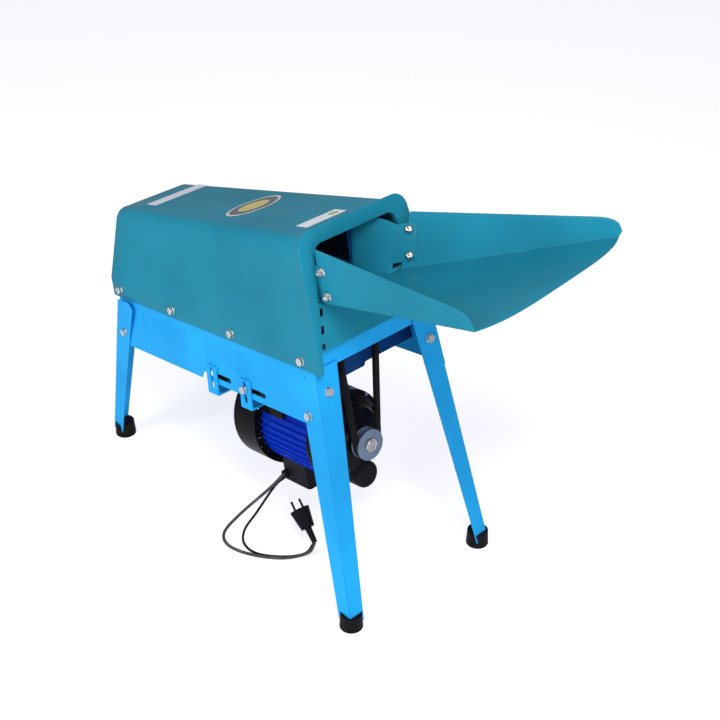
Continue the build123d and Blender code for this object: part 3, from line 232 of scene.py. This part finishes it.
def turned_metal(name, colour, roughness, axis):
    """Turned metal: concentric tool marks around a shaft axis, given by its body y and z."""
    wiring = Wiring(name)
    across = wiring.beyond(SIDEWAYS, ORIGIN.dot(SIDEWAYS) + axis.x * MM)
    above = wiring.beyond(UPWARD, ORIGIN.dot(UPWARD) + axis.y * MM)
    rings = wiring.math(
        "SINE", wiring.math("MULTIPLY", wiring.length(across, above), RINGS_PER_METRE * 2 * math.pi)
    )
    cloud = wiring.noise(70.0, detail=5.0)
    base = wiring.mix(wiring.span(cloud, 0.3, 0.7, 0.0, 1.0), shade(colour, 0.72), shade(colour, 1.15))
    groove = wiring.span(rings, -1.0, 1.0, 0.0, 1.0)
    base = wiring.mix(wiring.math("MULTIPLY", groove, 0.25), base, shade(colour, 1.5))
    normal = wiring.bump(groove, 0.25, 0.0003, wiring.rounded(0.0009))
    rough = wiring.span(cloud, 0.3, 0.7, roughness * 0.8, roughness * 1.3)
    return wiring.finish(Base_Color=base, Metallic=0.75, Roughness=rough, Normal=normal)


def soft(name, colour, roughness, grain=900.0, strength=0.2, dust=0.015):
    """Rubber or moulded plastic: fine grain, grey dust in the clouds, rounded edges."""
    wiring = Wiring(name)
    cloud = wiring.span(wiring.noise(25.0, detail=5.0), 0.45, 0.75, 0.0, dust)
    base = wiring.mix(cloud, colour[:3] + (1.0,), (0.32, 0.30, 0.27, 1.0))
    fine = wiring.noise(grain, detail=3.0)
    normal = wiring.bump(fine, strength, 0.0004, wiring.rounded(0.0009))
    rough = wiring.span(fine, 0.3, 0.7, roughness * 0.85, roughness * 1.15)
    return wiring.finish(Base_Color=base, Roughness=rough, Normal=normal, Specular_IOR_Level=0.06)


# the roof's middle line, from the rear to the front, for the stickers
REAR_TOP = at(-608.0, 0, 124.0)
FORE_TOP = at(-37.1, 0, 187.5)
ROOF_DIR = (FORE_TOP - REAR_TOP).normalized()


def on_roof(along, across):
    return REAR_TOP + (ROOF_DIR * along + SIDEWAYS * across) * MM


def film(name, centre, half_long, half_wide, rings):
    """Blank printed film on the roof; rings are (share of the half size, colour) from the centre out."""
    wiring = Wiring(name)
    along = wiring.math("DIVIDE", wiring.beyond(ROOF_DIR, centre.dot(ROOF_DIR)), half_long * MM)
    across = wiring.math("DIVIDE", wiring.beyond(SIDEWAYS, centre.dot(SIDEWAYS)), half_wide * MM)
    reach = wiring.length(along, across)
    base = rings[0][1]
    for (share, _), (_, colour) in zip(rings, rings[1:]):
        base = wiring.mix(wiring.span(reach, share - 0.01, share + 0.01, 0.0, 1.0), base, colour)
    fade = wiring.span(wiring.noise(80.0, detail=4.0), 0.4, 0.7, 0.0, 0.12)
    base = wiring.mix(fade, base, (0.45, 0.45, 0.42, 1.0))
    return wiring.finish(Base_Color=base, Roughness=0.28, Coat_Weight=0.5, Coat_Roughness=0.1)


DRUM_AXIS = Vector((0.0, 22.0))            # body y and z of the two shafts
MOTOR_AXIS = Vector((-12.0, -236.0))
TEAL = (0.014, 0.232, 0.345)
BLUE = (0.016, 0.390, 0.860)
MOTOR_BLUE = (0.003, 0.042, 0.560)
BLACK = (0.006, 0.006, 0.008)
ZINC = (0.70, 0.70, 0.68)

BADGE_RINGS = (
    (0.50, (0.66, 0.56, 0.05, 1)), (0.56, (0.62, 0.60, 0.42, 1)), (0.90, (0.012, 0.014, 0.018, 1)),
    (2.0, (0.72, 0.76, 0.76, 1)),
)
LABEL_RINGS = ((0.9, (0.34, 0.46, 0.04, 1)), (99.0, (0.86, 0.92, 0.98, 1)))


def steel_grey(level):
    return (level, level * 1.01, level * 1.03)


looks = {
    "teal_paint": paint("teal_paint", TEAL),
    "blue_paint": paint("blue_paint", BLUE, roughness=0.34, edge_wear_and_highlight=0.25),
    # a darker copy of the blue paint for the front bulkhead: painted shade where it sits in shadow inside the
    # cover and under the rail
    "bulkhead_blue_shaded": paint("bulkhead_blue_shaded", (0.005, 0.050, 0.19)),
    "motor_blue": paint("motor_blue", MOTOR_BLUE, roughness=0.26, edge_wear_and_highlight=0.12, orange_peel=0.09),
    "black_paint": paint("black_paint", BLACK, roughness=0.22, orange_peel=0.10),
    "zinc": metal("zinc", ZINC, 0.24),
    "machined_steel": metal("machined_steel", steel_grey(0.42), 0.30, brushed=(1, 8, 8)),
    "pulley_grey": turned_metal("pulley_grey", (0.17, 0.23, 0.33), 0.34, MOTOR_AXIS),
    "cast_grey": soft("cast_grey", (0.05, 0.055, 0.06), 0.55, grain=500.0, strength=0.5),
    "laminations": metal("laminations", steel_grey(0.25), 0.45, brushed=(40, 1, 1)),
    "drum_steel": metal("drum_steel", steel_grey(0.22), 0.45, tarnish=0.5),
    "sheet_steel": metal("sheet_steel", steel_grey(0.45), 0.38, grain=120.0),
    "belt_rubber": soft("belt_rubber", (0.010, 0.010, 0.011), 0.62, grain=1500.0, strength=0.4),
    "foot_rubber": soft("foot_rubber", (0.007, 0.007, 0.009), 0.48),
    "black_plastic": soft("black_plastic", (0.009, 0.010, 0.013), 0.36),
    "cord_plastic": soft("cord_plastic", (0.06, 0.063, 0.07), 0.38, dust=0.3),
    "fan_plastic": soft("fan_plastic", (0.03, 0.03, 0.032), 0.45),
    "label_white": film("label_white", on_roof(538.0, 10.0), 8.0, 11.0, LABEL_RINGS),
    "badge_yellow": film("badge_yellow", on_roof(324.0, 4.0), 34.0, 57.0, BADGE_RINGS),
}
slot_of = {part["node"]: part["material_slot"] for part in frame["record"]["subparts"]}
# the front bulkhead takes the darker blue, which is painted shade; every other part takes its own slot's look
for node, shown in frame["nodes"].items():
    shown.data.materials.clear()
    shown.data.materials.append(looks["bulkhead_blue_shaded" if node == "front_bulkhead" else slot_of[node]])


# ---------------------------------------------------------------- mesh helpers


def soften(mesh):
    """Shade a mesh smooth, apart from its sharp folds."""
    mesh.shade_smooth()
    mesh.set_sharp_from_angle(angle=SMOOTH_ANGLE)


def new_piece(name, mesh, material):
    piece = bpy.data.objects.new(name, mesh)
    bpy.context.scene.collection.objects.link(piece)
    mesh.materials.append(looks[material])
    soften(mesh)
    return piece


def grid_mesh(name, rows, closed_across=False, closed_along=False):
    """A quad sheet from rows of row-frame points, all rows with the same count."""
    mesh = bpy.data.meshes.new(name)
    width = len(rows[0])
    points = [point for row in rows for point in row]
    faces = []
    for i in range(len(rows) if closed_along else len(rows) - 1):
        for j in range(width if closed_across else width - 1):
            here, ahead = i * width, (i + 1) % len(rows) * width
            side = (j + 1) % width
            faces.append((here + j, here + side, ahead + side, ahead + j))
    mesh.from_pydata([tuple(point) for point in points], [], faces)
    mesh.update()
    return mesh


def apply_modifiers(piece):
    """Bake a piece's modifiers into its mesh."""
    shown = piece.evaluated_get(bpy.context.evaluated_depsgraph_get())
    finished = bpy.data.meshes.new_from_object(shown)
    piece.modifiers.clear()
    piece.data = finished
    soften(finished)


def close_ends(mesh, sides):
    """Cap the first and the last ring of a tube with the given number of sides."""
    build = bmesh.new()
    build.from_mesh(mesh)
    build.verts.ensure_lookup_table()
    build.faces.new([build.verts[i] for i in range(sides)])
    build.faces.new([build.verts[len(build.verts) - 1 - i] for i in range(sides)])
    bmesh.ops.recalc_face_normals(build, faces=build.faces)
    build.to_mesh(mesh)
    build.free()


def ring(centre, across, other, radius, sides):
    """Points of a circle of radius millimetres, in the plane of two unit directions."""
    angles = [2 * math.pi * side / sides for side in range(sides)]
    return [centre + (across * math.cos(a) + other * math.sin(a)) * radius * MM for a in angles]


def thicken(piece, side=-1.0, bend=0.0):
    """Turn a sheet into a plate, with its folds bent to a radius first; side picks the face kept."""
    if bend:
        folding = piece.modifiers.new("bends", "BEVEL")
        folding.limit_method = "ANGLE"
        folding.angle_limit = math.radians(12)
        folding.width = bend * MM
        folding.segments = 5
    plate = piece.modifiers.new("sheet", "SOLIDIFY")
    plate.thickness = SHEET * MM
    plate.offset = side
    plate.use_even_offset = True
    rims = piece.modifiers.new("rims", "BEVEL")
    rims.limit_method = "ANGLE"
    rims.angle_limit = math.radians(60)
    rims.width = 0.35 * MM
    rims.segments = 2
    apply_modifiers(piece)


def arc_corner(before, corner, after, radius, steps):
    """Points of the round that replaces a 2-D corner."""
    to_before = (before - corner).normalized()
    to_after = (after - corner).normalized()
    half_angle = to_before.angle(to_after) / 2
    reach = radius / math.tan(half_angle)
    start, end = corner + to_before * reach, corner + to_after * reach
    centre = corner + (to_before + to_after).normalized() * (radius / math.sin(half_angle))
    turn = (start - centre).angle(end - centre)
    points = []
    for i in range(steps + 1):
        share = i / steps
        weight_start = math.sin((1 - share) * turn) / math.sin(turn)
        weight_end = math.sin(share * turn) / math.sin(turn)
        points.append(centre + (start - centre) * weight_start + (end - centre) * weight_end)
    return points


# ---------------------------------------------------------------- cover

ARC_STEPS = 8
ROOF_STEPS = 10
WALL_STEPS = 8


def evenly(first, last, steps):
    return [first.lerp(last, i / steps) for i in range(steps + 1)]


def cover_section(x, lean, skirt_low, skirt_high, base, top, height, radius):
    """One section of the cover, from the near skirt over the roof to the far skirt.

    skirt_low, skirt_high and base are (half width, height) of the skirt's foot, the joggle and
    the foot of the side; top and height are the shoulder corner's half width and height.
    """
    base_point, corner, roof_mid = Vector(base), Vector((top, height)), Vector((0.0, height))
    shoulder = arc_corner(base_point, corner, roof_mid, radius, ARC_STEPS)
    half = [Vector(skirt_low), Vector(skirt_high)]
    half += evenly(base_point, shoulder[0], WALL_STEPS)[:-1]
    half += shoulder
    half += evenly(shoulder[-1], roof_mid, ROOF_STEPS)[1:]
    near = [at(x - lean * point.y, -point.x, point.y) for point in half]
    far = [at(x - lean * point.y, point.x, point.y) for point in reversed(half[:-1])]
    return near + far


REAR_LEAN = 12.0 / 124.0
BEZEL_LEAN = 31.0 / 200.0
SKIRT_LOW_Z = -29.5
OPENING_TOP = 173.0
OPENING_TOP_HALF = 86.0
OPENING_SLOPE = 0.215                      # how much wider the opening gets per unit of depth


def outer_skirt(grow):
    """Half width and height of the skirt's foot and of its joggle."""
    return (137.7 + grow, SKIRT_LOW_Z), (135.0 + grow, 3.0)


def opening_half(z):
    return OPENING_TOP_HALF + OPENING_SLOPE * (OPENING_TOP - z)


def opening_section(x, grow):
    foot, joggle, base = [(opening_half(z) + grow, z) for z in (SKIRT_LOW_Z, 3.0, 6.5)]
    return cover_section(
        x, BEZEL_LEAN, foot, joggle, base, OPENING_TOP_HALF + grow, OPENING_TOP + grow, 18.0 + grow,
    )


# x, lean, half width at the foot, shoulder's half width and height, shoulder radius
REAR_SECTION = (-596.0, REAR_LEAN, 134.3, 84.0, 124.0, 26.0)
FORE_SECTION = (-14.0, BEZEL_LEAN, 134.9, 110.6, 186.4, 28.0)
LENGTH_STEPS = 14
sections = []
for step in range(LENGTH_STEPS + 1):
    share = step / LENGTH_STEPS
    x, lean, base, top, height, radius = [
        rear + (fore - rear) * share for rear, fore in zip(REAR_SECTION, FORE_SECTION)
    ]
    low, high = outer_skirt(0.0)
    sections.append(cover_section(x, lean, low, high, (base, 6.5), top, height, radius))
# the rim sweeps up into the front band
for x, top, height, grow in (
    (-6.0, 111.4, 188.2, 0.0), (1.0, 112.9, 190.8, 0.0), (7.0, 114.7, 194.2, 0.0), (11.5, 116.2, 197.6, 0.0),
    (14.2, 116.9, 199.4, 0.0), (15.6, 116.6, 199.3, -0.4), (16.0, 115.4, 198.2, -1.4),
):
    low, high = outer_skirt(grow)
    sections.append(cover_section(x, BEZEL_LEAN, low, high, (134.7 + grow, 6.5), top, height, 28.0 + grow))
for x, grow in ((16.0, 3.0), (15.2, 0.9), (13.0, 0.0), (4.0, 0.0)):
    sections.append(opening_section(x, grow))
cover_shell = new_piece("cover_shell", grid_mesh("cover_shell", sections), "teal_paint")
thicken(cover_shell, side=1.0)
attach(cover_shell, "frame")
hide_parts("top_cover")

# ---------------------------------------------------------------- feed chute

FLOOR_RISE = 0.108
FLOOR_FOOT = 82.2
NEAR_WING_Y = -98.5
FAR_FOLD = (Vector((20.0, 60.0)), Vector((291.0, 290.0)))
WING_TOP = (18.0, 98.0, 173.5)


def floor_height(x):
    return FLOOR_FOOT + FLOOR_RISE * x


fold_in = Vector((FAR_FOLD[0].x, FAR_FOLD[0].y, floor_height(FAR_FOLD[0].x)))
fold_out = Vector((FAR_FOLD[1].x, FAR_FOLD[1].y, floor_height(FAR_FOLD[1].x)))
wing_normal = (fold_out - fold_in).cross(Vector(WING_TOP) - fold_in).normalized()


def wing_y(x, z):
    """Body y of the flared wing's sheet at a given body x and z."""
    return fold_in.y - (wing_normal.x * (x - fold_in.x) + wing_normal.z * (z - fold_in.z)) / wing_normal.y


ROUND_START = 0.88                         # share of the wings' length where their outer corners begin


def corner_drop(share, drop):
    """0 up to the corner, then a quarter round down to drop at share 1."""
    if share <= ROUND_START:
        return 0.0
    past = (share - ROUND_START) / (1 - ROUND_START)
    return drop * (1 - math.sqrt(max(0.0, 1 - past ** 2)))


CHUTE_STEPS = 40
FLOOR_STEPS = 22
WING_STEPS = 6
rows = []
for step in range(CHUTE_STEPS + 1):
    share = step / CHUTE_STEPS
    near_x = 4.0 + 338.0 * share
    near_foot = Vector((near_x, NEAR_WING_Y, floor_height(near_x)))
    near_rim_z = 174.5 - 30.0 * share - corner_drop(share, 22.0)
    near_rim = Vector((near_x, NEAR_WING_Y, near_rim_z))
    fold = fold_in.lerp(fold_out, share)
    rim_x = WING_TOP[0] + (FAR_FOLD[1].x + 3.0 - WING_TOP[0]) * share
    rim_z = WING_TOP[2] - 30.5 * share - corner_drop(share, 20.0)
    rim = Vector((rim_x, wing_y(rim_x, rim_z), rim_z))
    row = [near_rim.lerp(near_foot, i / WING_STEPS) for i in range(WING_STEPS)]
    for i in range(FLOOR_STEPS + 1):
        across = i / FLOOR_STEPS
        point = near_foot.lerp(fold, across)
        point.x += 25.0 * share ** 6 * (1 - abs(2 * across - 1) ** 4)
        point.z = floor_height(point.x)
        row.append(point)
    row += [fold.lerp(rim, (i + 1) / WING_STEPS) for i in range(WING_STEPS)]
    rows.append([at(*point) for point in row])
chute_shell = new_piece("chute_shell", grid_mesh("chute_shell", rows), "teal_paint")
thicken(chute_shell, side=0.0, bend=5.0)
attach(chute_shell, "frame")
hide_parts("feed_chute")

# ---------------------------------------------------------------- throat

THROAT_Z = 80.0
THROAT_REAR_X = -60.0
PATH_STEPS = 14


def throat_wall_point(share, height):
    """The curved wall: along the box at the bulkhead, turning into the flared wing's plane.

    height runs from 0 at the floor to 1 at the top edge, which drops towards the wing.
    """
    end_x = 9.0
    z = THROAT_Z - 1.0 + height * (93.0 - 20.0 * share ** 2)
    start = Vector((THROAT_REAR_X, 24.0 + 0.10 * (z - THROAT_Z)))
    end = Vector((end_x, wing_y(end_x, z) - 1.6))
    bend = Vector((-22.0, end.y - 0.78 * (end_x + 22.0)))
    left = start.lerp(bend, share)
    right = bend.lerp(end, share)
    spot = left.lerp(right, share)
    return at(spot.x, spot.y, z)


wall_rows = [
    [throat_wall_point(i / PATH_STEPS, height) for i in range(PATH_STEPS + 1)]
    for height in (0.0, 0.25, 0.5, 0.75, 1.0)
]
throat_wall = new_piece("throat_wall", grid_mesh("throat_wall", wall_rows), "teal_paint")
thicken(throat_wall, side=0.0)
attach(throat_wall, "frame")
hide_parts("feed_throat")


def flat_plate(name, outline):
    """A plate from an outline of row-frame points, thickened and with softened rims."""
    mesh = bpy.data.meshes.new(name)
    build = bmesh.new()
    build.faces.new([build.verts.new(point) for point in outline])
    build.to_mesh(mesh)
    build.free()
    plate = new_piece(name, mesh, "teal_paint")
    solid = plate.modifiers.new("sheet", "SOLIDIFY")
    solid.thickness = SHEET * MM
    solid.offset = 0.0
    rims = plate.modifiers.new("rims", "BEVEL")
    rims.width = 0.36 * MM
    rims.segments = 2
    apply_modifiers(plate)
    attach(plate, "frame")


def rounded_outline(corners, radius):
    """2-D outline with the given corners rounded; a corner is (point, whether it is rounded)."""
    points = []
    count = len(corners)
    for i, (corner, is_round) in enumerate(corners):
        if is_round:
            points += arc_corner(corners[i - 1][0], corner, corners[(i + 1) % count][0], radius, 6)
        else:
            points.append(corner)
    return points


floor_outline = [
    (9.0, NEAR_WING_Y + 0.4), (9.0, 43.0), (-10.0, 36.0), (-35.0, 28.0), (THROAT_REAR_X, 24.0),
    (THROAT_REAR_X, NEAR_WING_Y + 0.4),
]
flat_plate("throat_floor", [at(x, y, THROAT_Z - 0.8) for x, y in floor_outline])

near_corners = [
    (Vector((-28.0, 79.5)), False), (Vector((-28.0, 145.0)), True), (Vector((30.0, 145.0)), True),
    (Vector((30.0, 90.5)), True), (Vector((-5.0, 90.5)), False), (Vector((-5.0, 79.5)), False),
]
near_outline = rounded_outline(near_corners, 5.0)
flat_plate("throat_near_tab", [at(p.x, NEAR_WING_Y + 1.6, p.y) for p in near_outline])


def wing_spot(x, z, stand_off):
    """A point on the flared wing, stand_off millimetres in front of its middle."""
    return at(*(Vector((x, wing_y(x, z), z)) + wing_normal * stand_off))


far_corners = [
    (Vector((6.0, 94.0)), False), (Vector((6.0, 155.0)), False), (Vector((30.0, 156.5)), True),
    (Vector((37.0, 97.0)), True),
]
flat_plate("throat_far_tab", [wing_spot(p.x, p.y, 1.2) for p in rounded_outline(far_corners, 6.0)])

# ---------------------------------------------------------------- front panel

PANEL_X = 10.5
PANEL_FOOT = 2.5
PANEL_TOP = 81.0
SLOT_LEVELS = (4.0, 16.0, 31.5, 44.0, 59.5, 72.0)    # foot and top of the three slots on each side

levels = (PANEL_FOOT,) + SLOT_LEVELS + (PANEL_TOP,)
insets = (0.8, 4.4, 10.6)                  # from the opening's edge: panel, slot's two edges
panel_rows = []
for z in levels:
    half = opening_half(z)
    across = [-half + inset for inset in insets] + [half - inset for inset in reversed(insets)]
    panel_rows.append([at(PANEL_X - BEZEL_LEAN * z, y, z) for y in across])
panel_mesh = grid_mesh("panel", panel_rows)
cutting = bmesh.new()
cutting.from_mesh(panel_mesh)
cutting.faces.ensure_lookup_table()
columns = len(panel_rows[0]) - 1
slot_rows = range(1, len(levels) - 1, 2)
holes = [cutting.faces[row * columns + column] for row in slot_rows for column in (1, columns - 2)]
bmesh.ops.delete(cutting, geom=holes, context="FACES")
cutting.to_mesh(panel_mesh)
cutting.free()
panel = new_piece("slotted_panel", panel_mesh, "teal_paint")
thicken(panel)
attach(panel, "frame")
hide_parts("front_panel")

# ---------------------------------------------------------------- chute screws


def lathe(name, foot, outward, profile, sides):
    """A turned zinc piece on a foot point; profile lists (radius, height) in mm from foot to tip."""
    across = outward.orthogonal().normalized()
    other = outward.cross(across)
    rows = [ring(foot + outward * height * MM, across, other, radius, sides) for radius, height in profile]
    mesh = grid_mesh(name, rows, closed_across=True)
    close_ends(mesh, sides)
    piece = new_piece(name, mesh, "zinc")
    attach(piece, "frame")
    return piece


PAN_HEAD = ((7.6, 0.0), (7.8, 0.8), (7.4, 2.2), (6.4, 3.5), (4.8, 4.5), (2.8, 5.0), (2.3, 4.2), (0.7, 3.7))
WASHER = ((8.2, 0.0), (8.4, 0.3), (8.4, 1.1), (8.1, 1.4), (4.0, 1.4))
NUT = ((6.2, 0.0), (6.6, 0.5), (6.6, 5.0), (6.0, 5.7), (3.1, 5.7))
SHANK = ((3.0, 0.0), (3.0, 9.6), (2.4, 10.4), (0.8, 10.6))
WING_OUT = (FORWARD * wing_normal.x + SIDEWAYS * wing_normal.y + UPWARD * wing_normal.z).normalized()
far_places = [wing_spot(28.0, 105.0, 1.9), wing_spot(20.5, 146.0, 1.9)]
near_places = [at(x, NEAR_WING_Y - 0.8, z) for x, z in ((14.0, 138.0), (20.5, 97.0))]
screws = [lathe("far_screw_%d" % i, foot, WING_OUT, PAN_HEAD, 24) for i, foot in enumerate(far_places)]
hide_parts("chute_bolts")
for i, foot in enumerate(near_places):
    lathe("near_washer_%d" % i, foot, -SIDEWAYS, WASHER, 24)
    lathe("near_nut_%d" % i, foot - SIDEWAYS * 1.4 * MM, -SIDEWAYS, NUT, 6)
    lathe("near_shank_%d" % i, foot, -SIDEWAYS, SHANK, 20)

# ---------------------------------------------------------------- belt

BELT_X = -45.0
DRUM_WRAP = 47.0
MOTOR_WRAP = 24.0
STRAND_STEPS = 12
BELT_SECTION = ((-6.1, 3.9), (-4.6, 4.3), (0.0, 4.4), (4.6, 4.3), (6.1, 3.9), (3.8, -3.9), (-3.8, -3.9))

down = (MOTOR_AXIS - DRUM_AXIS).normalized()
sideways = Vector((-down.y, down.x))
crossing = (DRUM_WRAP - MOTOR_WRAP) / (MOTOR_AXIS - DRUM_AXIS).length
contact = math.acos(crossing)


def belt_outward(angle):
    """Unit vector from a pulley's centre, angle measured from the line down to the motor."""
    return down * math.cos(angle) + sideways * math.sin(angle)


loop = []
for step in range(25):
    angle = contact - 2 * contact * step / 24
    loop.append((MOTOR_AXIS + belt_outward(angle) * MOTOR_WRAP, belt_outward(angle)))
outward = belt_outward(-contact)
for step in range(1, STRAND_STEPS):
    spot = (MOTOR_AXIS + outward * MOTOR_WRAP).lerp(DRUM_AXIS + outward * DRUM_WRAP, step / STRAND_STEPS)
    loop.append((spot, outward))
for step in range(37):
    angle = -contact - (2 * math.pi - 2 * contact) * step / 36
    loop.append((DRUM_AXIS + belt_outward(angle) * DRUM_WRAP, belt_outward(angle)))
outward = belt_outward(contact)
for step in range(1, STRAND_STEPS):
    spot = (DRUM_AXIS + outward * DRUM_WRAP).lerp(MOTOR_AXIS + outward * MOTOR_WRAP, step / STRAND_STEPS)
    loop.append((spot, outward))
belt_rows = []
for spot, outward in loop:
    belt_rows.append([
        at(BELT_X + across, spot.x + outward.x * rise, spot.y + outward.y * rise)
        for across, rise in BELT_SECTION
    ])
belt = new_piece("belt", grid_mesh("belt", belt_rows, closed_across=True, closed_along=True), "belt_rubber")
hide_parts("v_belt")
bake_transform(belt)

# ---------------------------------------------------------------- cord

CORD_FLOOR = 3.6                           # height of a cord's middle where it lies on the floor
SPAN_STEPS = 10
CORD_SIDES = 12


def smooth_path(points):
    """Catmull-Rom curve through the points."""
    path = []
    padded = [points[0] * 2 - points[1]] + points + [points[-1] * 2 - points[-2]]
    for i in range(1, len(padded) - 2):
        a, b, c, d = padded[i - 1:i + 3]
        for step in range(SPAN_STEPS):
            t = step / SPAN_STEPS
            square_part = (a * 2 - b * 5 + c * 4 - d) * t * t
            cube_part = (b * 3 - a - c * 3 + d) * t ** 3
            path.append((b * 2 + (c - a) * t + square_part + cube_part) * 0.5)
    path.append(points[-1])
    return path


def tube(name, points, radius, material):
    """A round cord along a path of row-frame points, with closed ends."""
    path = smooth_path(points)
    rows = []
    normal = None
    for i, spot in enumerate(path):
        ahead = (path[min(i + 1, len(path) - 1)] - path[max(i - 1, 0)]).normalized()
        if normal is None:
            normal = ahead.orthogonal().normalized()
        normal = (normal - ahead * normal.dot(ahead)).normalized()
        rows.append(ring(spot, normal, ahead.cross(normal), radius, CORD_SIDES))
    mesh = grid_mesh(name, rows, closed_across=True)
    close_ends(mesh, CORD_SIDES)
    return new_piece(name, mesh, material)


gland = at(-232, -64.6, -338)
CORD_POINTS = (
    (-178, -92, 92), (-212, -142, 34), (-216, -178, 8), (-186, -192, CORD_FLOOR), (-140, -178, CORD_FLOOR),
    (-92, -142, CORD_FLOOR), (-66, -100, 8), (-68, -80, 20),
)
cord_points = [gland, gland + Vector((0, -0.010, -0.001))] + [on_ground(*point) for point in CORD_POINTS]
cord = tube("cord_outer", cord_points, 3.0, "cord_plastic")
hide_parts("power_cord")
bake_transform(cord)
INNER_POINTS = (
    (-176, -84, 92), (-190, -118, 40), (-192, -148, 12), (-168, -168, CORD_FLOOR), (-130, -166, CORD_FLOOR),
    (-90, -134, CORD_FLOOR), (-69, -103, 7), (-69, -82, 19),
)
inner_points = [gland + Vector((0.004, 0, 0)), gland + Vector((0.004, -0.008, -0.004))]
inner_points += [on_ground(*point) for point in INNER_POINTS]
inner_cord = tube("cord_inner", inner_points, 2.4, "black_plastic")
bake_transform(inner_cord)

# ---------------------------------------------------------------- stage, light and camera

CAMERA_PLACE = ORIGIN + Vector((1.3859, -1.3102, 1.2333))
CAMERA_VIEW = Vector((-0.6064, 0.5607, -0.5638))
CAMERA_LENS = 68.2


def backdrop_material():
    material = bpy.data.materials.new("pale_floor")
    material.use_nodes = True
    shader = material.node_tree.nodes["Principled BSDF"]
    shader.inputs["Base Color"].default_value = (0.93, 0.93, 0.95, 1)
    shader.inputs["Roughness"].default_value = 0.9
    shader.inputs["Specular IOR Level"].default_value = 0.0
    shader.inputs["Emission Color"].default_value = (0.95, 0.945, 0.985, 1)
    seen = material.node_tree.nodes.new("ShaderNodeLightPath")
    glow = material.node_tree.nodes.new("ShaderNodeMath")
    glow.operation = "MULTIPLY"
    glow.inputs[1].default_value = 0.52
    material.node_tree.links.new(seen.outputs["Is Camera Ray"], glow.inputs[0])
    material.node_tree.links.new(glow.outputs["Value"], shader.inputs["Emission Strength"])
    return material


floor_mesh = bpy.data.meshes.new("floor")
REACH = 12.0
floor_mesh.from_pydata(
    [(-REACH, -REACH, 0), (REACH, -REACH, 0), (REACH, REACH, 0), (-REACH, REACH, 0)], [], [(0, 1, 2, 3)]
)
floor = bpy.data.objects.new("floor", floor_mesh)
bpy.context.scene.collection.objects.link(floor)
floor_mesh.materials.append(backdrop_material())

world = bpy.data.worlds.new("studio")
bpy.context.scene.world = world
world.use_nodes = True
backdrop = world.node_tree.nodes["Background"]
backdrop.inputs["Color"].default_value = (0.945, 0.94, 0.985, 1)
seen = world.node_tree.nodes.new("ShaderNodeLightPath")
strength = world.node_tree.nodes.new("ShaderNodeMapRange")
strength.inputs["To Min"].default_value = 0.40
world.node_tree.links.new(seen.outputs["Is Camera Ray"], strength.inputs["Value"])
world.node_tree.links.new(strength.outputs["Result"], backdrop.inputs["Strength"])


def softbox(name, place, aim, side, watts):
    lamp = bpy.data.lights.new(name, "AREA")
    lamp.shape = "SQUARE"
    lamp.size = side
    lamp.energy = watts
    box = bpy.data.objects.new(name, lamp)
    bpy.context.scene.collection.objects.link(box)
    box.location = place
    box.rotation_euler = (Vector(aim) - Vector(place)).to_track_quat("-Z", "Y").to_euler()


MIDDLE = (0.0, 0.0, 0.42)
softbox("key", (-0.6, -2.8, 1.5), MIDDLE, 1.6, 39.0)
softbox("front", (2.8, -0.9, 1.1), MIDDLE, 1.4, 20.0)
softbox("top", (1.2, -0.7, 2.2), (0.35, 0.0, 0.6), 0.9, 26.0)

camera_data = bpy.data.cameras.new("camera")
camera_data.lens = CAMERA_LENS
camera_data.sensor_width = 36.0
camera = bpy.data.objects.new("camera", camera_data)
bpy.context.scene.collection.objects.link(camera)
camera.location = CAMERA_PLACE
camera.rotation_euler = CAMERA_VIEW.to_track_quat("-Z", "Y").to_euler()
bpy.context.scene.camera = camera
bpy.context.scene.view_settings.view_transform = "Standard"
